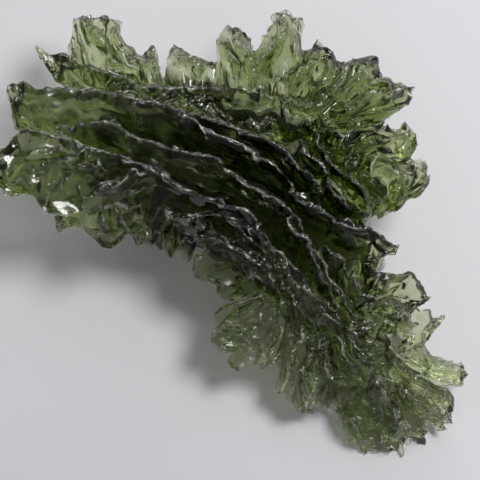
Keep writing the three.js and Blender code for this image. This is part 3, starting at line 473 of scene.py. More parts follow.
# tail fin 2
grow(1.2, [
    (11.6, -4.6, 0, 10.4, -6, -1.4), (13.2, -5.1, -0.3, 11.8, -6.9, -1.7),
    (14.6, -5.4, -0.6, 13.3, -7.8, -1.9), (15.7, -5.6, -0.9, 14.6, -8.2, -1.9),
    (16.4, -6.2, -1.1, 15.5, -7, -1.5),
], grooves="down", crumple=FRAYED)
# tail fan
grow(0.55, [
    (14.6, -8.2, -1.6, 12.6, -8.4, -1.6), (15.8, -9.4, -2, 12.8, -9, -1.7), (17, -9.8, -2.3, 13, -9.4, -1.8),
    (18.3, -11, -2.8, 13.1, -9.9, -2), (17.1, -12.2, -2.9, 13.1, -10.5, -2.2),
    (17.4, -13.8, -3.2, 13, -11, -2.4), (16.7, -15, -3.4, 12.9, -11.5, -2.6),
    (15.2, -15.3, -3.4, 12.6, -12, -2.8),
], grooves="down", crumple=FRAYED)
# tail tip
grow(0.5, [
    (15, -14.8, -3.6, 12.8, -12.2, -2.8), (15.1, -16.6, -4, 12.5, -12.5, -2.9),
    (13.6, -17, -4.2, 12.1, -12.7, -3), (12.6, -17.4, -4.4, 11.6, -12.9, -3.1),
    (10.9, -17.5, -4.5, 11, -13, -3.1), (9.6, -16.6, -4.3, 10.5, -12.9, -3),
    (8.4, -15.8, -4, 9.9, -12.6, -2.9), (8.3, -14.4, -3.6, 9.4, -12.2, -2.8),
    (8.2, -13, -3.2, 9, -11.7, -2.6),
], grooves="down", crumple=FRAYED)
# tail ridge 1
grow(0.65, [
    (8.6, -2.5, 1.8, 8, -3.8, -0.9), (10.6, -4.6, 1.2, 9.7, -6.3, -0.7), (12, -6, 0.6, 11.1, -7.7, -0.9),
    (13.4, -7.6, -0.2, 12.5, -9.3, -1.1), (14.6, -8.8, -1.2, 14, -9.6, -1.7),
])

# --------------------------------------
# What lies below the front fin: two frayed plates, the dark hub with its crumpled ridges, the lobes that
# hang beside it, and the ridges that run on down the tail. They are the stumps of fins that the acid ate
# back.

# lower plate 1
grow(0.6, [
    (-1.4, -5, -0.5, 1.8, -4, 0), (-2.2, -6.1, -0.8, 2.1, -4.5, 0), (-1.8, -7.2, -1, 2.2, -5, 0),
    (-2.6, -8.1, -1.2, 2.4, -5.4, -0.2), (-1.4, -8.8, -1.3, 2.6, -5.8, -0.3),
    (-0.9, -9.9, -1.5, 2.9, -6.2, -0.4), (-0.5, -10.6, -1.6, 3.1, -6.6, -0.5),
    (0.5, -10.7, -1.7, 3.4, -6.9, -0.6), (1.8, -10.3, -1.7, 3.8, -7.2, -0.7),
    (3, -10.1, -1.6, 4.2, -7.5, -0.8),
], grooves="down", crumple=FRAYED)
# lower plate 2
grow(0.65, [
    (3.1, -10.1, -1.2, 3.8, -5.6, 0), (3, -11.5, -1.6, 4.2, -6, -0.2), (3.3, -12.7, -2, 4.6, -6.4, -0.4),
    (4.1, -13.4, -2.2, 5.1, -6.8, -0.6), (5.2, -13.8, -2.4, 5.7, -7.1, -0.8),
    (6.2, -13.7, -2.4, 6.3, -7.4, -1), (7, -13.4, -2.4, 7, -7.6, -1.2), (7.8, -12.6, -2.3, 7.6, -7.8, -1.4),
    (8.3, -11.6, -2.2, 8.2, -8.1, -1.6),
], grooves="down", crumple=FRAYED)
# hub knob
grow(2.2, [
    (-3.8, -1.4, 0.5, -0.4, 0, 0.5), (-3.9, -2.4, 0.8, 0, -1, 0.6), (-3.4, -3.3, 0.6, 0.5, -1.8, 0.6),
    (-2.4, -3.5, 0.4, 0.8, -2.6, 0.4), (-1.8, -4.1, 0.2, 1.1, -3.4, 0.2), (-1.3, -4.9, 0, 1.4, -4.3, 0),
], grooves="down")
# hub ridge 1
grow(0.7, [
    (-5.4, 2.2, 4, -5.2, 1.4, 2), (-4.4, 1.7, 4.3, -4.2, 0.8, 1.4), (-3.2, 2, 4.5, -3, 0.8, 1.4),
    (-1.4, 1.9, 4.7, -1.4, 0.6, 1.2), (0, 1.4, 4.7, -0.1, 0, 1), (1.2, 0.3, 4.5, 0.9, -1, 0.6),
])
# hub ridge 2
grow(0.7, [
    (-3.5, 0.7, 3.4, -3.4, 0.2, 1.4), (-2, -0.1, 3.7, -1.9, -0.9, 0.8), (-0.4, -0.5, 3.8, -0.4, -1.6, 0.6),
    (0.8, -1, 3.8, 0.7, -2.2, 0.4), (1.8, -1.8, 3.6, 1.5, -3, 0), (3.2, -2.9, 3.2, 2.8, -4.2, -0.5),
])
# hub ridge 3
grow(0.7, [
    (-3, -0.3, 2.6, -2.8, -0.8, 1), (-1.8, -0.9, 2.9, -1.6, -1.8, 0.6), (-0.4, -1.4, 3, -0.3, -2.6, 0.4),
    (1, -2.2, 2.9, 1, -3.4, 0), (2.4, -3.6, 2.6, 2.2, -4.8, -0.4), (3.6, -5, 2.2, 3.4, -6.2, -0.8),
])
# hanging lobes
grow(2.6, [
    (-8.3, 0.8, 0.5, -7.2, 4, 1.5), (-7.4, -0.8, 0, -6.4, 3.2, 1.2), (-6.8, -0.1, 0, -5.8, 2.8, 1),
    (-5.8, -1.8, -0.5, -5, 2.4, 0.8), (-5, -1.3, -0.5, -4.2, 2, 0.5), (-4, -1.4, -0.8, -3.2, 1.4, 0.3),
], grooves="down", crumple=FRAYED)
# side plate
grow(2.4, [
    (-14.6, 1.8, 2.8, -14.6, 0.7, 1.8), (-13.2, 2.6, 3.2, -12.8, 0.6, 1.2), (-11.6, 3, 3.4, -10.8, 0.4, 0.8),
    (-10, 2.7, 3.2, -9, 1, 0.2), (-8, 2.4, 3, -7.2, 0.2, -0.5),
], grooves="down", crumple=FRAYED)
# hub ridge 4
grow(0.7, [
    (-1, 1.9, 4.6, -1.2, 1.2, 1.6), (-0.6, 1.4, 4.8, -0.8, 0.4, 1.2), (0.4, 0.2, 4.7, 0.1, -0.8, 1),
    (1.8, -0.8, 4.4, 1.4, -1.9, 0.6), (2.6, -1.4, 4.2, 2.2, -2.6, 0.3), (3.7, -2.2, 3.8, 3.3, -3.4, -0.3),
])
# hub ridge 5
grow(0.7, [
    (-3.2, 1.8, 3.9, -3.1, 1.2, 1.8), (-2.2, 0.8, 4.1, -2.1, 0, 1.2), (-1.2, -0.2, 4.1, -1.1, -1, 0.8),
    (0, -0.9, 4, 0, -1.8, 0.4), (1.8, -1.8, 3.7, 1.7, -2.8, 0), (3, -2.9, 3.4, 2.8, -4, -0.4),
])
# hub ridge 6
grow(0.7, [
    (-0.4, -0.2, 3.3, -0.4, -0.8, 1.4), (0.6, -0.6, 3.5, 0.5, -1.4, 1), (1.4, -1, 3.6, 1.2, -2, 0.8),
    (2.6, -2, 3.4, 2.3, -3.2, 0.2), (4, -3.9, 3, 3.6, -5, -0.6),
])
# tail ridge 2
grow(0.65, [
    (4, 2, 4.2, 3.4, 0.4, 0.7), (4.6, 0.6, 4, 3.6, -1.7, 0.7), (5.4, -0.2, 3.6, 4.3, -2.7, 0.3),
    (6.1, -1.8, 3, 4.9, -4.1, -0.1), (6.9, -3.5, 2.5, 5.7, -5.7, -0.5), (8, -5.2, 1.8, 7.1, -6.8, -1.3),
])
# tail ridge 3
grow(0.65, [
    (2.4, -0.2, 4.2, 1.8, -1.6, 0.7), (3.4, -1.2, 4, 2.4, -3.3, 0.7), (4.6, -2.4, 3.5, 3.6, -4.6, 0.3),
    (5.6, -3.9, 3, 4.5, -6.1, -0.1), (6.8, -4.8, 2.6, 5.8, -6.9, -0.5), (8.2, -6.6, 1.9, 7.2, -8.5, -0.9),
    (9.4, -8.4, 1.3, 8.4, -10.3, -1.3), (10.6, -10.4, 0.7, 9.9, -11.6, -1.9),
])
# tail ridge 4
grow(0.65, [
    (6.8, -0.2, 2.5, 6, -1.8, -0.3), (7.8, -1.2, 2.3, 6.7, -3.3, -0.1), (8.8, -2.8, 2, 7.7, -4.7, -0.3),
    (9.6, -4.4, 1.6, 8.6, -6.3, -0.5), (10.8, -6.2, 1.1, 9.8, -8.1, -0.7), (12, -8, 0.6, 11, -9.7, -0.9),
    (13.2, -9.6, -0.2, 12.6, -10.6, -1.5),
])
# tail ridge 5
grow(0.65, [
    (8.6, -7.6, 2, 8, -9, -1.1), (9.8, -9.2, 1.6, 8.9, -11.1, -1.1), (11, -11, 1, 10.1, -12.9, -1.5),
    (12.2, -12.8, 0.2, 11.3, -14.5, -1.9), (13.2, -14.4, -0.8, 12.4, -15.9, -2.3),
    (13.8, -15.8, -2, 13.4, -16.6, -3.1),
])

# --------------------------------------
# The keels of the crown, the leaf and the fingers. A keel is the thick middle of a spike, which the acid
# reached last, and it gives the spike the shape of a pyramid.

# crown lobe keel 1
grow(1.5, [
    (-12.5, 17.9, 0.5, -12.4, 17.8, 0), (-11.9, 17, 1.2, -11.8, 16.8, -0.1),
    (-11.1, 15.8, 1.8, -11.1, 15.7, 0), (-10.2, 14.7, 2.2, -10.3, 14.6, 0.2),
    (-9.4, 13.8, 2.2, -9.5, 13.6, 0.3),
])
# crown lobe keel 2
grow(1.6, [
    (-10.8, 18, 0.5, -10.8, 17.8, 0), (-10.3, 17, 1.3, -10.4, 16.8, -0.1), (-9.7, 15.8, 1.9, -9.8, 15.7, 0),
    (-8.8, 14.7, 2.2, -8.9, 14.6, 0.2), (-7.8, 13.9, 2.2, -7.9, 13.8, 0.3),
])
# tooth keel 1
grow(1.1, [
    (-8.8, 15.4, 1.1, -8.8, 15.3, 0.6), (-8.3, 14.7, 1.7, -8.3, 14.6, 0.2), (-7.5, 13.9, 2, -7.6, 13.8, 0.1),
])
# tooth keel 2
grow(1.0, [
    (-7.5, 15.2, 1.1, -7.5, 15, 0.6), (-7, 14.6, 1.7, -7, 14.4, 0.2), (-6.4, 13.8, 2, -6.4, 13.6, 0.1),
])
# curled lobe keel
grow(1.3, [
    (-5.2, 15.2, 0.7, -5.2, 15, 0.1), (-4.6, 14.6, 1.3, -4.7, 14.5, -0.1),
    (-3.8, 13.9, 1.7, -3.9, 13.8, -0.2), (-2.9, 13.3, 1.9, -3, 13.1, -0.2),
])
# spike 1 keel
grow(1.7, [
    (-0.5, 17, 0.8, -0.5, 16.8, 0.3), (-0.2, 16.2, 1.4, -0.5, 16, -0.2), (0.2, 15, 2, -0.2, 14.9, -0.4),
    (1, 13.8, 2.3, 0.5, 13.6, -0.4), (1.8, 12.5, 2.3, 1.3, 12.3, -0.4),
])
# spike 1 side keel
grow(1.2, [
    (-1.3, 15.9, 1, -1.1, 15.9, 0.2), (-1, 15, 1.6, -0.9, 15, -0.2), (-0.5, 13.9, 1.9, -0.6, 13.8, -0.3),
    (0, 12.8, 1.9, -0.2, 12.7, -0.3),
])
# spike 2 keel
grow(2.2, [
    (3.6, 18.2, 1.1, 3.6, 17.9, 0.5), (3.3, 17.1, 1.8, 3.4, 17, -0.1), (2.8, 15.8, 2.4, 3, 15.7, -0.4),
    (2.1, 14.6, 2.7, 2.4, 14.4, -0.5), (1.3, 13.3, 2.8, 1.7, 13.1, -0.5),
])
# spike 2 side keel
grow(1.4, [
    (4.1, 17.8, 0.9, 4, 17.7, 0.4), (4.2, 16.8, 1.4, 4.1, 16.7, -0.1), (4.4, 15.5, 1.9, 4.3, 15.4, -0.3),
    (4.6, 14.2, 2, 4.5, 14.2, -0.4), (4.3, 13, 2.1, 4.2, 12.9, -0.4),
])
# spike 3 keel
grow(2.2, [
    (6.5, 15.7, 1.2, 6.5, 15.4, 0.6), (6.1, 14.9, 2, 6.2, 14.7, 0), (5.4, 13.9, 2.6, 5.6, 13.8, -0.3),
    (4.6, 13, 2.8, 4.8, 12.8, -0.4), (3.7, 12.2, 2.8, 4, 12, -0.4),
])
# spike 3 side keel
grow(1.4, [
    (7.1, 15, 1.2, 7, 14.8, 0.4), (7.2, 14.1, 1.8, 7.1, 14, -0.1), (6.9, 13, 2.2, 6.8, 12.9, -0.3),
    (6.2, 12, 2.5, 6.2, 11.9, -0.3),
])
# leaf rib 3
grow(1.2, [
    (10.9, 14.2, 0.9, 10.8, 14.2, 0.1), (10.1, 13.4, 1.8, 10.1, 13.4, -0.3),
    (9.1, 12.5, 2.4, 9.1, 12.3, -0.4), (8.2, 11.4, 2.6, 8.2, 11.2, -0.4),
])
# leaf rib 4
grow(1, [
    (9.6, 11.5, 1.6, 9.7, 11.4, -0.2), (10.1, 12.2, 2.2, 10.2, 12.1, -0.2), (10.9, 12.6, 2.4, 11, 12.4, -0.2),
    (11.8, 12.4, 2.2, 11.8, 12.2, -0.2), (12.4, 11.8, 1.5, 12.3, 11.8, -0.2),
])
# finger 1 keel
grow(2, [
    (13.8, 8.7, 1.4, 13.7, 8.6, 0.8), (12.8, 8.2, 1.8, 12.8, 8.1, 0.2), (11.7, 8, 2, 11.7, 7.8, -0.2),
    (10.4, 7.9, 2.2, 10.4, 7.8, -0.4), (9, 8, 2.1, 9, 7.8, -0.6),
])
# finger 2 keel
grow(2, [
    (15, 5.3, 1, 15, 5.1, 0.4), (14.1, 5.4, 1.5, 14.1, 5.3, 0), (13, 5.4, 1.9, 13, 5.3, -0.3),
    (11.8, 5.6, 2.1, 11.8, 5.4, -0.4), (10.6, 5.9, 2.1, 10.6, 5.8, -0.6),
])

# --------------------------------------
# The keels of the fan, the tip and the lower plates. They are broad and blunt, because the acid and the
# gravel have rounded them, and they thicken the thin sheets from their middles.

# fan keel 1
grow(1.7, [
    (18.1, -11, -2.6, 17.9, -11, -2.9), (16.8, -10.7, -2.4, 16.8, -10.9, -2.9),
    (15.4, -10.1, -2, 15.4, -10.2, -2.7), (14.1, -9.4, -1.6, 14.1, -9.6, -2.4), (13, -8.8, -1.3, 13, -9, -2),
], edge=0.8)
# fan keel 2
grow(2, [
    (17.2, -13.5, -3.1, 17, -13.4, -3.4), (16, -12.8, -2.8, 15.9, -12.9, -3.3),
    (14.7, -11.8, -2.3, 14.6, -11.9, -3), (13.4, -10.7, -1.9, 13.4, -10.8, -2.7),
    (12.5, -9.8, -1.5, 12.4, -9.8, -2.2),
], edge=1.1)
# fan keel 3
grow(1.8, [
    (16.6, -14.7, -3.4, 16.4, -14.6, -3.6), (15.4, -14.1, -3, 15.3, -14.2, -3.5),
    (14.1, -13, -2.6, 14, -13, -3.2), (13, -11.8, -2.1, 12.9, -11.9, -2.8),
], edge=1)
# tip keel 1
grow(1.4, [
    (8.7, -15.5, -3.8, 8.8, -15.4, -4.1), (9, -14.4, -3.3, 9, -14.5, -3.8),
    (8.8, -13.1, -2.8, 8.8, -13.2, -3.4), (8.3, -11.8, -2.5, 8.3, -11.9, -3.1),
    (7.7, -10.6, -2.1, 7.7, -10.6, -2.8),
], edge=0.8)
# tip keel 2
grow(1.6, [
    (10.6, -17.1, -4.2, 10.6, -17, -4.5), (10.7, -15.8, -3.5, 10.7, -15.9, -4.1),
    (10.4, -14.4, -3, 10.4, -14.5, -3.6), (9.9, -13, -2.5, 9.9, -13, -3.2),
    (9.3, -11.5, -2.1, 9.3, -11.6, -2.9),
], edge=0.9)
# tip keel 3
grow(1.4, [
    (12.6, -17, -4.1, 12.6, -16.9, -4.4), (12.3, -15.7, -3.5, 12.3, -15.8, -4),
    (11.8, -14.2, -3, 11.8, -14.3, -3.6), (11.4, -12.8, -2.5, 11.4, -12.9, -3.2),
    (10.9, -11.5, -2, 10.9, -11.6, -2.8),
], edge=0.8)
# tip keel 4
grow(1.4, [
    (14.6, -16.2, -3.8, 14.6, -16.1, -4), (13.8, -15.2, -3.3, 13.7, -15.3, -3.8),
    (13, -13.9, -2.9, 12.9, -14, -3.5), (12.3, -12.6, -2.4, 12.2, -12.7, -3.1),
    (11.8, -11.4, -2, 11.8, -11.4, -2.7),
], edge=0.8)
# lower plate 1 keel 1
grow(1.6, [
    (-2.1, -8.1, -0.6, -1.9, -8.1, -1.2), (-1.2, -7.5, 0, -1.1, -7.6, -1.2), (0, -6.9, 0.5, 0.1, -7, -1.1),
    (1.3, -6.2, 0.7, 1.4, -6.3, -0.9), (2.4, -5.4, 0.7, 2.5, -5.5, -0.6),
])
# lower plate 1 keel 2
grow(1.6, [
    (-0.4, -10.2, -1, -0.3, -10.1, -1.5), (0, -9.3, -0.2, 0.1, -9.3, -1.4), (0.8, -8.2, 0.3, 0.9, -8.2, -1.2),
    (1.8, -7.2, 0.5, 1.8, -7.3, -1), (2.7, -6.4, 0.6, 2.8, -6.5, -0.8),
])
# lower plate 1 keel 3
grow(1.4, [
    (1.8, -10.1, -1, 1.8, -9.9, -1.5), (2.1, -9, -0.3, 2.1, -9, -1.4), (2.6, -7.8, 0.2, 2.6, -7.9, -1.2),
    (3.2, -6.9, 0.6, 3.2, -7, -0.9),
])
# lower plate 2 keel 1
grow(1.7, [
    (3.5, -12.5, -1.5, 3.6, -12.3, -2.1), (3.8, -11.2, -0.7, 3.8, -11.2, -1.9),
    (4.2, -9.6, -0.1, 4.2, -9.7, -1.5), (4.6, -8, 0.4, 4.7, -8.1, -1.1), (5.1, -6.6, 0.5, 5.2, -6.6, -0.8),
])
# lower plate 2 keel 2
grow(1.8, [
    (5, -13.5, -1.8, 5, -13.4, -2.4), (5.1, -12.2, -0.9, 5.1, -12.2, -2.1),
    (5.4, -10.6, -0.3, 5.4, -10.6, -1.7), (5.8, -9, 0.1, 5.8, -9, -1.3), (6.2, -7.6, 0.3, 6.2, -7.7, -1),
])
# lower plate 2 keel 3
grow(1.7, [
    (6.7, -13.2, -1.8, 6.7, -13, -2.4), (6.9, -12, -1, 6.9, -12.1, -2.2), (7, -10.6, -0.4, 7, -10.6, -1.8),
    (7.2, -9, 0, 7.2, -9, -1.4), (7.2, -7.6, 0.2, 7.2, -7.7, -1.1),
])

# --------------------------------------
# The slivers that run together across the dark hub. They are splinters of glass that stand between the
# narrowest gullies, and they catch the light along their crests.

# sliver 1
grow(0.6, [
    (-2.8, 1.6, 3.6, -2.8, 1.4, 1.5), (-2.2, 0.9, 3.8, -2.2, 0.7, 1.4), (-1.4, 0.2, 3.8, -1.4, 0, 1.2),
    (-0.4, -0.4, 3.8, -0.4, -0.6, 1), (0.8, -1, 3.6, 0.8, -1.2, 0.6),
])
# sliver 2
grow(0.6, [
    (-0.6, 1.5, 4.2, -0.6, 1.4, 2), (0, 0.6, 4.2, 0, 0.5, 1.6), (0.5, 0, 4.1, 0.5, -0.2, 1.4),
    (1.1, -0.8, 3.9, 1.1, -1, 1),
])
# sliver 3
grow(0.7, [
    (-2.1, 2.4, 4.4, -2.1, 2.2, 2.2), (-1.2, 1.9, 4.6, -1.2, 1.8, 2), (-0.3, 1.5, 4.6, -0.3, 1.4, 1.8),
    (0.6, 1, 4.4, 0.6, 0.8, 1.6), (1.4, 0.2, 4.2, 1.4, 0, 1.2),
])
# sliver 4
grow(0.7, [
    (-5.3, 2.2, 3, -5.3, 2.2, 1.6), (-4.8, 1.4, 2.8, -4.7, 1.4, 1.2), (-4.1, 1.8, 3.2, -4.1, 1.6, 1.4),
    (-3.4, 2.2, 3.6, -3.4, 2, 1.8), (-2.6, 2.6, 4, -2.6, 2.4, 2.4),
])
# sliver 5
grow(0.8, [
    (-9.8, 3.7, 4, -9.8, 3.5, 2.4), (-8.8, 4, 4.5, -8.8, 3.8, 2.6), (-7.8, 4.2, 4.6, -7.8, 3.9, 2.6),
    (-7, 4.4, 4.6, -7, 4.2, 2.8),
])
# sliver 6
grow(0.7, [
    (1.8, -1.8, 3.6, 1.7, -1.9, 0.6), (2.6, -2.4, 3.4, 2.5, -2.6, 0.2), (3.4, -3.2, 3.2, 3.3, -3.4, 0),
    (4.2, -4.2, 2.8, 4.1, -4.3, -0.4), (4.8, -5, 2.6, 4.7, -5.2, -0.8),
])

# --------------------------------------
# The knuckles of the tail and of the lower plates: short, blunt swellings with a wet shine. They were left
# where two gullies cross.

# tail knuckle 1
grow(1.9, [
    (8.3, -9.1, 0.3, 8.5, -9.3, -1.6), (9.3, -8.7, 0.8, 9.4, -8.9, -1.4), (10.4, -8.5, 0.6, 10.5, -8.6, -1.4),
    (11.5, -8.8, 0.1, 11.6, -9, -1.6),
], edge=0.9)
# tail knuckle 2
grow(1.8, [
    (9, -7.4, 1, 9, -7.5, -1.2), (9.9, -7, 1.3, 10, -7.2, -1), (11, -7, 0.9, 11.1, -7.2, -1),
    (12.2, -7.5, 0.3, 12.2, -7.7, -1.2),
], edge=0.9)
# tail knuckle 3
grow(1.9, [
    (9.3, -10.7, -0.1, 9.4, -10.9, -2), (10.4, -10.4, 0.3, 10.5, -10.6, -1.8),
    (11.7, -10.4, 0, 11.8, -10.6, -1.8),
], edge=0.9)
# tail knuckle 4
grow(1.5, [
    (8.7, -13.1, -2.2, 8.8, -13.2, -3.6), (9, -14.4, -2.1, 9, -14.5, -3.9),
    (9.6, -15.5, -2.6, 9.7, -15.6, -4.1), (10.5, -16.5, -3.4, 10.5, -16.6, -4.3),
], edge=1.1)
# tail knuckle 5
grow(1.4, [
    (10.5, -13.3, -1.6, 10.6, -13.4, -3.2), (11.4, -14.2, -1.7, 11.5, -14.2, -3.6),
    (12.1, -15.2, -2.3, 12.1, -15.3, -4), (12.4, -16.2, -3.2, 12.4, -16.3, -4.2),
], edge=1.0)
# tail knuckle 6
grow(1.4, [
    (12.6, -12, -0.9, 12.7, -12.1, -2.6), (13.7, -12.9, -1.3, 13.8, -13, -3),
    (14.7, -13.7, -1.9, 14.7, -13.8, -3.3), (15.6, -14.4, -2.8, 15.6, -14.5, -3.5),
], edge=0.9)
# tail knuckle 7
grow(1.2, [
    (13.6, -8.9, -0.3, 13.7, -9, -2), (14.8, -9.6, -0.7, 14.9, -9.8, -2.3),
    (16, -10.2, -1.4, 16.1, -10.3, -2.6), (17.4, -10.7, -2.2, 17.4, -10.9, -2.8),
], edge=0.7)
# tail knuckle 8
grow(1.8, [
    (7.1, -5.8, 1.5, 7.2, -5.8, -0.6), (7.8, -7.2, 1.1, 7.8, -7.3, -1), (8.4, -8.6, 0.5, 8.5, -8.6, -1.4),
    (8.9, -9.9, -0.4, 9, -10, -1.8),
], edge=0.8)
# tail knuckle 9
grow(1.6, [
    (6.2, -8, 0.7, 6.2, -8.1, -1), (6.8, -9.4, 0.2, 6.9, -9.5, -1.4), (7.4, -11, -0.5, 7.5, -11.1, -2),
    (7.9, -12.5, -1.5, 8, -12.6, -2.6),
], edge=0.8)
# tail knuckle 10
grow(1.6, [
    (10.8, -4.8, 1.5, 10.9, -5, -0.6), (11.8, -5.4, 1.3, 11.9, -5.5, -0.8), (12.8, -6.2, 0.8, 12.9, -6.3, -1),
    (13.7, -7.1, 0.1, 13.8, -7.3, -1.2),
], edge=0.8)
# plate knuckle 1
grow(1.3, [
    (-2.2, -7.7, -0.3, -2.1, -7.8, -1.2), (-1.4, -8.4, 0.1, -1.4, -8.5, -1.2),
    (-0.6, -8.8, 0.1, -0.5, -8.9, -1.3), (0.2, -9.3, -0.4, 0.3, -9.4, -1.4),
], edge=0.8)
# plate knuckle 2
grow(1.3, [
    (-1.3, -6.6, 0.2, -1.2, -6.6, -0.9), (-0.4, -7.2, 0.5, -0.3, -7.3, -0.9), (0.6, -7.4, 0.4, 0.6, -7.5, -1),
    (1.4, -8.1, 0, 1.5, -8.2, -1.1),
], edge=0.8)
# plate knuckle 3
grow(1.3, [
    (4.2, -11.2, -0.9, 4.2, -11.3, -1.8), (5, -10.7, -0.4, 5.1, -10.8, -1.7),
    (6, -10.9, -0.3, 6.1, -11, -1.7), (7, -10.5, -0.6, 7, -10.6, -1.8),
], edge=0.8)

# --------------------------------------
# Two low ridges across the raised left end of the second fin, like those of the lobe below it. The acid
# left them between shallow gullies.

# end ridge 1
grow(1.4, [
    (-18.5, 11, 4, -18.5, 10.9, 3.4), (-17.1, 11.1, 4.6, -17.1, 10.9, 3.2),
    (-15.7, 10.9, 4.7, -15.7, 10.6, 2.9), (-14.2, 10.4, 4.5, -14.2, 10.1, 2.5),
])
# end ridge 2
grow(1.3, [
    (-18.1, 9.8, 3.4, -18.1, 9.8, 2.8), (-16.8, 10.1, 4.1, -16.8, 9.8, 2.6),
    (-15.4, 9.9, 4.2, -15.4, 9.6, 2.2), (-13.8, 9.5, 3.9, -13.8, 9.2, 1.8),
])

# --------------------------------------
# The fins of the underside. They follow the core and reach down to the table, and the stone rests on their
# lowest tips, which are worn flat. Each is told by its root's thickness and place on the core, and by how
# far its tips and the gaps between them stay clear of the table.

FLOOR = -6.6  # height of the resting plane under the face-on zero
UNDER_SPLAY = 1.4  # how much further out than their roots these fins' tips stand


def grow_under(root, side, start, end, rise, clearances):
    """One fin under the core, from one share of its length to another, side millimetres off its line."""
    ribs = []
    for i, clearance in enumerate(clearances):
        place, up_face = core_point(start + (end - start) * i / (len(clearances) - 1))
        foot = place[:3] + up_face * side + OUT * rise
        tip = place[:3] + up_face * side * UNDER_SPLAY
        tip[2] = (FLOOR + clearance - tip[1] * math.sin(LEAN)) / math.cos(LEAN)
        ribs.append([*tip, *foot])
    grow(root, ribs, grooves="down")


grow_under(1.6, 6.2, 0.02, 0.6, 1.6, [6.2, 3.0, 3.6, 1.2, 2.4, 0.6, 1.7, -0.5, 1.5, 0.9, 2.8, 2.2, 5.4])
grow_under(
    1.8, 3.2, 0.0, 0.7, 1.4,
    [6.4, 3.2, 3.4, -0.4, 1.6, 0.5, 2.0, 0.3, 1.8, 0.4, 2.2, 1.0, 3.0, 2.2, 4.6],
)
grow_under(
    1.1, 0.2, 0.02, 0.74, 1.0,
    [6.4, 3.6, 3.8, 1.4, 2.2, -0.3, 1.5, 0.5, 1.6, 0.6, 2.0, 0.8, 2.2, 1.2, 1.8, 1.0, 2.2],
)
grow_under(
    0.6, -2.6, 0.06, 0.97, 1.0,
    [5.6, 3.2, 3.6, 1.4, 2.2, -0.3, 1.9, 0.9, 1.8, 0.7, 1.4, 0.6, 1.2, -0.4, 0.7, -0.3, 0.9],
)

# --------------------------------------
# The glass. It is silica melt that cooled too fast to form crystals, bottle green from its iron: nearly
# clear where it is thin and black where it is thick. It is satin on the raised plates, where the acid bit
# finest, and glossy from the hub to the tail. Its sharp crests are tinted pale, patch by patch: partly
# rubbed glass, partly a painted sheen of the light along them.

GRAIN_CELL = (2.4 * MM, 0.34 * MM, 1.0)  # length and width of the fine grain along the flow
GRAIN_DETAIL = 3.0
GRAIN_STRENGTH = 0.5
GRAIN_DEPTH = 0.02 * MM
CLEAR_TINT = (0.95, 0.96, 0.88, 1)
# the pale crest tint and its lower clearness: partly rubbed glass, partly a painted sheen of light
SHEEN_AND_RUBBED_TINT = (0.86, 0.89, 0.80, 1)
SHEEN_AND_RUBBED_CLEARNESS = 0.32
RUBBED_ROUGHNESS = 0.06
SHEEN_AND_RUBBED_FALL = 1.35  # how soon the rubbing and the painted sheen fade down from a crest
PATCH_SCALE = 900.0  # patches to a metre
PATCH_DETAIL = 2.0
PATCH_FROM, PATCH_TO = 0.4, 0.62
PATCH_LEAST = 0.3
SATIN_MIDDLE = (-0.010, 0.007, 0.009)  # in the midst of the raised plates
SATIN_REACH, GLOSS_REACH = 0.009, 0.016
SATIN_ROUGHNESS, GLOSS_ROUGHNESS = 0.23, 0.02
CLOUD_SCALE = 300.0
CLOUD_SWAY = 0.008
LIGHT_BENDING = 1.49  # the index of refraction of such glass
BOTTLE_GREEN = (0.45, 0.54, 0.13, 1)
GREEN_DENSITY = 880.0


def place_node(tree, kind, *inputs, **settings):
    """Adds a node and feeds its inputs in order: a socket is linked, None is skipped, the rest is set."""
    node = tree.nodes.new(kind)
    for name, value in settings.items():
        setattr(node, name, value)
    live = [socket for socket in node.inputs if socket.enabled]
    for socket, value in zip(live, inputs):
        if isinstance(value, bpy.types.NodeSocket):
            tree.links.new(value, socket)
        elif value is not None:
            socket.default_value = value
    return next(socket for socket in node.outputs if socket.enabled)


def maths(tree, operation, *values, clamp=False):
    return place_node(tree, "ShaderNodeMath", *values, operation=operation, use_clamp=clamp)


def vectors(tree, operation, *values):
    return place_node(tree, "ShaderNodeVectorMath", *values, operation=operation)


def measured(tree, operation, first, second):
    """One number worked out from two vectors."""
    measure = tree.nodes.new("ShaderNodeVectorMath")
    measure.operation = operation
    tree.links.new(first, measure.inputs[0])
    if isinstance(second, bpy.types.NodeSocket):
        tree.links.new(second, measure.inputs[1])
    else:
        measure.inputs[1].default_value = second
    return measure.outputs["Value"]


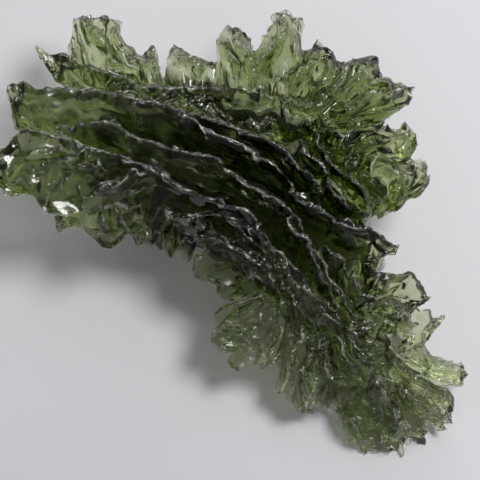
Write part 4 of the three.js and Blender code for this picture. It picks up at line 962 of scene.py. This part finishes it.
def green_glass():
    glass = bpy.data.materials.new("moldavite_glass")
    glass.use_nodes = True
    tree = glass.node_tree
    shader = tree.nodes["Principled BSDF"].inputs
    place = tree.nodes.new("ShaderNodeTexCoord").outputs["Object"]
    marks = {}
    for name, output in (("worn", "Fac"), ("flow", "Vector")):
        mark = tree.nodes.new("ShaderNodeAttribute")
        mark.attribute_name = name
        marks[name] = mark.outputs[output]

    grain_at = vectors(tree, "DIVIDE", marks["flow"], GRAIN_CELL)
    grain = place_node(tree, "ShaderNodeTexNoise", grain_at, 1.0, GRAIN_DETAIL)
    relief = tree.nodes.new("ShaderNodeBump")
    relief.inputs["Strength"].default_value = GRAIN_STRENGTH
    relief.inputs["Distance"].default_value = GRAIN_DEPTH
    tree.links.new(grain, relief.inputs["Height"])
    tree.links.new(relief.outputs["Normal"], shader["Normal"])

    patches = place_node(tree, "ShaderNodeTexNoise", place, PATCH_SCALE, PATCH_DETAIL)
    patches = place_node(tree, "ShaderNodeMapRange", patches, PATCH_FROM, PATCH_TO, PATCH_LEAST, 1.0)
    # crests get a pale tint and less clearness: partly rubbed frosting, partly a painted sheen of light
    rubbed_and_sheen = maths(tree, "POWER", maths(tree, "MULTIPLY", marks["worn"], patches), SHEEN_AND_RUBBED_FALL)
    tint = place_node(tree, "ShaderNodeMix", rubbed_and_sheen, CLEAR_TINT, SHEEN_AND_RUBBED_TINT, data_type="RGBA")
    tree.links.new(tint, shader["Base Color"])
    clearness = place_node(tree, "ShaderNodeMapRange", rubbed_and_sheen, 0.0, 1.0, 1.0, SHEEN_AND_RUBBED_CLEARNESS)
    tree.links.new(clearness, shader["Transmission Weight"])

    cloud = place_node(tree, "ShaderNodeTexNoise", place, CLOUD_SCALE)
    away = maths(tree, "MULTIPLY_ADD", cloud, CLOUD_SWAY, measured(tree, "DISTANCE", place, SATIN_MIDDLE))
    bare = (SATIN_REACH, GLOSS_REACH, SATIN_ROUGHNESS, GLOSS_ROUGHNESS)
    bare = place_node(tree, "ShaderNodeMapRange", away, *bare)
    roughness = place_node(tree, "ShaderNodeMix", marks["worn"], bare, RUBBED_ROUGHNESS)
    tree.links.new(roughness, shader["Roughness"])

    shader["IOR"].default_value = LIGHT_BENDING
    depth = tree.nodes.new("ShaderNodeVolumeAbsorption")
    depth.inputs["Color"].default_value = BOTTLE_GREEN
    depth.inputs["Density"].default_value = GREEN_DENSITY
    tree.links.new(depth.outputs["Volume"], tree.nodes["Material Output"].inputs["Volume"])
    return glass


glass = green_glass()

# --------------------------------------
# The etching of the fins. Acids in the ground folded and scalloped the fins, notched their crests into
# teeth, and cut flutes and blisters into their cheeks. Every skin gets it before they are joined.

FIN_SIZES = {
    "Tooth Spacing": 1.7 * MM, "Tooth Depth": 0.8 * MM,
    "Fine Tooth Spacing": 0.6 * MM, "Fine Tooth Depth": 0.26 * MM,
    "Fold Spacing": 3.0 * MM, "Fold Depth": 2.2 * MM,
    "Plate Length": 4.2 * MM, "Plate Step": 0.3 * MM,
    "Wave Length": 4.6 * MM, "Wave Depth": 0.7 * MM,
    "Flute Length": 9.0 * MM, "Flute Width": 1.3 * MM, "Flute Depth": 0.4 * MM,
    "Blister Depth": 1.2 * MM, "Seed": 3.0,
}
PLAIN_NOISE = (1.0, 2.0, 0.5)  # scale, detail and roughness
STIR_SCALE = 2.4  # of the finer noise that strays every pattern, against the waves
FOLD_STRAY = 0.6
FOLD_LEVEL = 0.22  # of the fold pattern, where a fin stays in its own plane
BITE_FROM, BITE_GAIN = 0.35, 3.0  # where the waves let the teeth begin, and how soon they are whole
RAGGED_GAIN, RAGGED_LEAST = 1.2, 0.5  # how much deeper the teeth are where a fin crumples
TOOTH_SHARPNESS = 1.8
FLUTE_STRAY = (0.6, 0.6, 0.0)
FLUTE_SHARPNESS = 1.3
FLUTE_LEVEL = 0.6
FLUTE_CALM = -0.4  # flutes are shallower where a fin crumples
THIN_GLASS = 0.18 * MM  # half-thickness with no relief
THIN_FADE = 0.5 * MM  # how much more of it there is where the relief is whole
DEEPEST_SHARE = -0.6  # of the half-thickness, the most that relief cuts away
TOLD_VECTORS = ("flow", "outward", "stand", "retreat")
TOLD_NUMBERS = ("along", "thick", "pleat")


def join_skins():
    """All the grown skins as one mesh where the stone rests, with the etching's attributes on its points."""
    def joined(name):
        return np.concatenate([skin[name] for skin in grown])

    mesh = bpy.data.meshes.new("moldavite_glass_stone")
    faces, start = [], 0
    for skin in grown:
        faces += [[start + corner for corner in face] for face in skin["faces"]]
        start += len(skin["points"])
    mesh.from_pydata(lie_down(joined("points")).tolist(), [], faces)
    for name in TOLD_VECTORS:
        layer = mesh.attributes.new(name, "FLOAT_VECTOR", "POINT")
        if name == "flow":
            values = joined(name) * MM
        else:
            values = (lie_down(joined(name)) - lie_down(np.zeros(3))) / MM
        layer.data.foreach_set("vector", values.ravel())
    for name in TOLD_NUMBERS:
        layer = mesh.attributes.new(name, "FLOAT", "POINT")
        layer.data.foreach_set("value", joined(name) * (1.0 if name == "pleat" else MM))
    mesh.materials.append(glass)
    return mesh


def turn_outwards(stone):
    """Every skin's faces point out of the glass."""
    shape = bmesh.new()
    shape.from_mesh(stone.data)
    bmesh.ops.recalc_face_normals(shape, faces=shape.faces)
    shape.to_mesh(stone.data)
    shape.free()


def told(tree, name, kind="FLOAT"):
    return place_node(tree, "GeometryNodeInputNamedAttribute", name, data_type=kind)


def new_tree(name, sizes):
    """A geometry tree with a named input for each size. Returns it, its geometry and its sizes by name."""
    tree = bpy.data.node_groups.new(name, "GeometryNodeTree")
    tree.interface.new_socket("Geometry", in_out="INPUT", socket_type="NodeSocketGeometry")
    tree.interface.new_socket("Geometry", in_out="OUTPUT", socket_type="NodeSocketGeometry")
    for label in sizes:
        tree.interface.new_socket(label, in_out="INPUT", socket_type="NodeSocketFloat")
    given = tree.nodes.new("NodeGroupInput").outputs
    return tree, given["Geometry"], given


def end_tree(tree, geometry):
    real = place_node(tree, "GeometryNodeRealizeInstances", geometry)
    painted = place_node(tree, "GeometryNodeSetMaterial", real, None, glass)
    tree.links.new(painted, tree.nodes.new("NodeGroupOutput").inputs[0])
    return tree


def add_tree(stone, tree, sizes):
    """Puts a geometry tree on the stone, with its sizes set by the sockets' identifiers."""
    etching = stone.modifiers.new(tree.name, "NODES")
    etching.node_group = tree
    for socket in tree.interface.items_tree:
        if socket.name in sizes:
            etching[socket.identifier] = sizes[socket.name]


def settle(stone):
    """Gives the stone its modifiers' result as a plain mesh and takes the modifiers off."""
    depsgraph = bpy.context.evaluated_depsgraph_get()
    result = bpy.data.meshes.new_from_object(stone.evaluated_get(depsgraph), depsgraph=depsgraph)
    stone.modifiers.clear()
    stone.data = result


def scallops(tree, vector, dimensions, sharpness):
    """1 in the middle of each hollow, falling to 0 at the sharp ridges between them."""
    near = place_node(tree, "ShaderNodeTexVoronoi", vector, 1.0, voronoi_dimensions=dimensions)
    bowl = maths(tree, "POWER", maths(tree, "MULTIPLY", near, sharpness, clamp=True), 2.0)
    return maths(tree, "SUBTRACT", 1.0, bowl)


def spread_out(tree, value):
    """The same number three times over, as a vector."""
    return place_node(tree, "ShaderNodeCombineXYZ", value, value, value)


def scaled(tree, direction, distance):
    return vectors(tree, "MULTIPLY", direction, spread_out(tree, distance))


def above_table(tree, geometry):
    """Flattens whatever reaches under the resting plane, as wear does."""
    place = vectors(tree, "MAXIMUM", place_node(tree, "GeometryNodeInputPosition"), (-1.0, -1.0, 0.0))
    return place_node(tree, "GeometryNodeSetPosition", geometry, None, place)


def etched_fins_tree():
    """Folds each fin from side to side, notches its crest into teeth and cuts flutes into both its cheeks."""
    tree, geometry, size = new_tree("etched_fins", FIN_SIZES)
    flow, outward, stand, retreat = (told(tree, name, "FLOAT_VECTOR") for name in TOLD_VECTORS)
    along, thick, pleat = (told(tree, name) for name in TOLD_NUMBERS)
    wave_at = vectors(tree, "DIVIDE", flow, spread_out(tree, size["Wave Length"]))
    wave_at = vectors(tree, "ADD", wave_at, spread_out(tree, size["Seed"]))
    wave = place_node(tree, "ShaderNodeTexNoise", wave_at, *PLAIN_NOISE)
    stir = tree.nodes.new("ShaderNodeTexNoise")
    tree.links.new(wave_at, stir.inputs["Vector"])
    stir.inputs["Scale"].default_value = STIR_SCALE
    jitter = stir.outputs[0]

    # folds, plates and waves: from side to side
    drift = maths(tree, "DIVIDE", along, size["Fold Spacing"])
    drift = maths(tree, "MULTIPLY_ADD", jitter, FOLD_STRAY, drift)
    crease = place_node(tree, "ShaderNodeTexVoronoi", drift, 1.0, voronoi_dimensions="1D")
    fold = maths(tree, "MULTIPLY", maths(tree, "SUBTRACT", crease, FOLD_LEVEL), size["Fold Depth"])
    fold = maths(tree, "MULTIPLY", fold, pleat)
    plate = maths(tree, "ADD", wave, maths(tree, "DIVIDE", along, size["Plate Length"]))
    plate = maths(tree, "SUBTRACT", maths(tree, "FRACT", plate), 0.5)
    sway = maths(tree, "MULTIPLY_ADD", plate, size["Plate Step"], fold)
    sway = maths(tree, "MULTIPLY_ADD", maths(tree, "SUBTRACT", wave, 0.5), size["Wave Depth"], sway)
    moved = scaled(tree, stand, sway)

    # teeth: along the crest, towards the root
    bite = maths(tree, "MULTIPLY", maths(tree, "SUBTRACT", wave, BITE_FROM), BITE_GAIN, clamp=True)
    bite = maths(tree, "MULTIPLY", bite, maths(tree, "MULTIPLY_ADD", pleat, RAGGED_GAIN, RAGGED_LEAST))
    for tooth in ("Tooth", "Fine Tooth"):
        at = maths(tree, "ADD", maths(tree, "DIVIDE", along, size[tooth + " Spacing"]), jitter)
        notch = maths(tree, "SUBTRACT", scallops(tree, at, "1D", TOOTH_SHARPNESS), 0.5)
        notch = maths(tree, "MULTIPLY", notch, maths(tree, "MULTIPLY", bite, size[tooth + " Depth"]))
        moved = vectors(tree, "ADD", moved, scaled(tree, retreat, notch))

    # flutes and blisters: into both cheeks
    width = size["Flute Width"]
    cell = place_node(tree, "ShaderNodeCombineXYZ", size["Flute Length"], width, width)
    stray = vectors(tree, "SUBTRACT", stir.outputs["Color"], (0.5, 0.5, 0.5))
    stray = vectors(tree, "MULTIPLY", stray, FLUTE_STRAY)
    flute_at = vectors(tree, "ADD", vectors(tree, "DIVIDE", flow, cell), stray)
    flute = maths(tree, "SUBTRACT", FLUTE_LEVEL, scallops(tree, flute_at, "2D", FLUTE_SHARPNESS))
    relief = maths(tree, "MULTIPLY", flute, size["Flute Depth"])
    relief = maths(tree, "MULTIPLY", relief, maths(tree, "MULTIPLY_ADD", pleat, FLUTE_CALM, 1.0))
    relief = maths(tree, "MULTIPLY_ADD", maths(tree, "SUBTRACT", jitter, 0.5), size["Blister Depth"], relief)
    room = maths(tree, "DIVIDE", maths(tree, "SUBTRACT", thick, THIN_GLASS), THIN_FADE, clamp=True)
    deepest = maths(tree, "MULTIPLY", thick, DEEPEST_SHARE)
    relief = maths(tree, "MAXIMUM", maths(tree, "MULTIPLY", relief, room), deepest)
    moved = vectors(tree, "ADD", moved, scaled(tree, outward, relief))

    etched = place_node(tree, "GeometryNodeSetPosition", geometry, None, None, moved)
    return end_tree(tree, above_table(tree, etched))


stone = bpy.data.objects.new("moldavite_stone", join_skins())
bpy.context.collection.objects.link(stone)
turn_outwards(stone)
add_tree(stone, etched_fins_tree(), FIN_SIZES)
settle(stone)

# --------------------------------------
# The stone's one skin. It is a single piece of glass, so the skins melt into one. The acid then rounded the
# bottoms of the gullies, and cut the whole surface with shallow scoops and fine furrows along the flow.

VOXEL = 0.105 * MM
STONE_SIZES = {
    "Gully Fill": 0.7, "Patch Size": 3.0 * MM,
    "Furrow Length": 2.6 * MM, "Furrow Width": 0.4 * MM, "Furrow Depth": 0.04 * MM,
    "Scoop Length": 2.4 * MM, "Scoop Width": 1.6 * MM, "Scoop Depth": 0.14 * MM,
}
GULLY_ROUNDS = 14  # rounds of blur that a gully's depth is told against
FURROW_SHARPNESS = 1.3
SCOOP_SHARPNESS = 1.2
SCOOP_LEVEL = 0.45
FURROWED_FROM, FURROWED_GAIN = 0.36, 5.0


def flow_from(tree, fins, place):
    """The flow lines of the fins, as they run past a place on the joined stone."""
    source = tree.nodes.new("GeometryNodeObjectInfo")
    source.inputs["Object"].default_value = fins
    nearest = tree.nodes.new("GeometryNodeSampleNearestSurface")
    nearest.data_type = "FLOAT_VECTOR"
    value = next(socket for socket in nearest.inputs if socket.name == "Value" and socket.enabled)
    tree.links.new(source.outputs["Geometry"], nearest.inputs["Mesh"])
    tree.links.new(told(tree, "flow", "FLOAT_VECTOR"), value)
    tree.links.new(place, nearest.inputs["Sample Position"])
    return next(socket for socket in nearest.outputs if socket.name == "Value" and socket.enabled)


def bulge(tree, place, normal, rounds):
    """How far each point stands out beyond the points around it."""
    around = place_node(tree, "GeometryNodeBlurAttribute", place, rounds, 1.0, data_type="FLOAT_VECTOR")
    return measured(tree, "DOT_PRODUCT", vectors(tree, "SUBTRACT", place, around), normal)


def etched_stone_tree(fins):
    """Fills the sharp bottoms of the gullies, and cuts scoops and patches of fine furrows all over."""
    tree, geometry, size = new_tree("etched_stone", STONE_SIZES)
    place = place_node(tree, "GeometryNodeInputPosition")
    normal = place_node(tree, "GeometryNodeInputNormal")
    flow = flow_from(tree, fins, place)
    hollow = maths(tree, "MINIMUM", bulge(tree, place, normal, GULLY_ROUNDS), 0.0)
    raised = maths(tree, "MULTIPLY", hollow, maths(tree, "MULTIPLY", size["Gully Fill"], -1.0))

    dish = place_node(tree, "ShaderNodeCombineXYZ", size["Scoop Length"], size["Scoop Width"], 1.0)
    scoop = scallops(tree, vectors(tree, "DIVIDE", flow, dish), "2D", SCOOP_SHARPNESS)
    scoop = maths(tree, "SUBTRACT", SCOOP_LEVEL, scoop)
    raised = maths(tree, "MULTIPLY_ADD", scoop, size["Scoop Depth"], raised)

    cell = place_node(tree, "ShaderNodeCombineXYZ", size["Furrow Length"], size["Furrow Width"], 1.0)
    furrow = scallops(tree, vectors(tree, "DIVIDE", flow, cell), "2D", FURROW_SHARPNESS)
    patch_at = vectors(tree, "DIVIDE", place, spread_out(tree, size["Patch Size"]))
    patch = place_node(tree, "ShaderNodeTexNoise", patch_at, *PLAIN_NOISE)
    patch = maths(tree, "MULTIPLY", maths(tree, "SUBTRACT", patch, FURROWED_FROM), FURROWED_GAIN, clamp=True)
    furrow = maths(tree, "MULTIPLY", maths(tree, "MULTIPLY", furrow, patch), size["Furrow Depth"])
    raised = maths(tree, "SUBTRACT", raised, furrow)

    etched = place_node(tree, "GeometryNodeSetPosition", geometry, None, None, scaled(tree, normal, raised))
    return end_tree(tree, etched)


fins = bpy.data.objects.new("fins", stone.data.copy())
bpy.context.collection.objects.link(fins)
weld = stone.modifiers.new("one_skin", "REMESH")
weld.mode = "VOXEL"
weld.voxel_size = VOXEL
weld.use_smooth_shade = True
add_tree(stone, etched_stone_tree(fins), STONE_SIZES)
settle(stone)

# --------------------------------------
# The wear, and the painted sheen. Rolling in gravel rubbed the crests that stand out and took the highest
# and the lowest tips off. The crest mark stored here is partly that rubbing and partly a painted sheen of
# light along the crests; the glass reads it, and which way its grain runs, from what is stored here.

SHEEN_AND_WEAR_SIZES = {
    "Sharp From": 0.030 * MM, "Sharp To": 0.062 * MM,
    "Ridge From": 0.09 * MM, "Ridge To": 0.30 * MM, "Ridge Share": 0.14,
}
SHARP_ROUNDS = 5
RIDGE_ROUNDS = 24
MOST_TRIANGLES = 190_000
HIGHEST_TIP = cad_box[1][2] * 1.028  # teeth reach a little over the plain fins' crests
CREASE_ANGLE = math.radians(32)


def worn_crests_tree(fins):
    """Marks how sharp each crest stands, for its wear and its painted sheen, and the way the flow runs past
    each point.
    """
    tree, geometry, size = new_tree("worn_crests", SHEEN_AND_WEAR_SIZES)
    place = place_node(tree, "GeometryNodeInputPosition")
    normal = place_node(tree, "GeometryNodeInputNormal")
    rubbed_and_sheen = []
    for kind, rounds in (("Sharp", SHARP_ROUNDS), ("Ridge", RIDGE_ROUNDS)):
        over = maths(tree, "SUBTRACT", bulge(tree, place, normal, rounds), size[kind + " From"])
        span = maths(tree, "SUBTRACT", size[kind + " To"], size[kind + " From"])
        rubbed_and_sheen.append(maths(tree, "DIVIDE", over, span, clamp=True))
    # both bands pale the crests in the glass: partly rubbing, partly a painted sheen of light
    worn = maths(tree, "MAXIMUM", rubbed_and_sheen[0], maths(tree, "MULTIPLY", rubbed_and_sheen[1], size["Ridge Share"]))
    flow = flow_from(tree, fins, place)
    for name, kind, value in (("worn", "FLOAT", worn), ("flow", "FLOAT_VECTOR", flow)):
        store = {"data_type": kind, "domain": "POINT"}
        geometry = place_node(tree, "GeometryNodeStoreNamedAttribute", geometry, None, name, value, **store)
    return end_tree(tree, geometry)


def finish_skin(mesh):
    """Takes off what reaches under the table or over the highest tip, and smooths all but the creases."""
    points = np.empty(len(mesh.vertices) * 3)
    mesh.vertices.foreach_get("co", points)
    points = points.reshape(-1, 3)
    points[:, 2] = np.clip(points[:, 2], 0, HIGHEST_TIP)
    mesh.vertices.foreach_set("co", points.ravel())
    mesh.polygons.foreach_set("use_smooth", [True] * len(mesh.polygons))
    mesh.set_sharp_from_angle(angle=CREASE_ANGLE)
    mesh.update()


add_tree(stone, worn_crests_tree(fins), SHEEN_AND_WEAR_SIZES)
settle(stone)
bpy.data.objects.remove(fins)
thin = stone.modifiers.new("fewer_faces", "DECIMATE")
thin.ratio = min(1, MOST_TRIANGLES / (2 * len(stone.data.polygons)))
settle(stone)
finish_skin(stone.data)

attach(stone, "root")
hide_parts("moldavite")
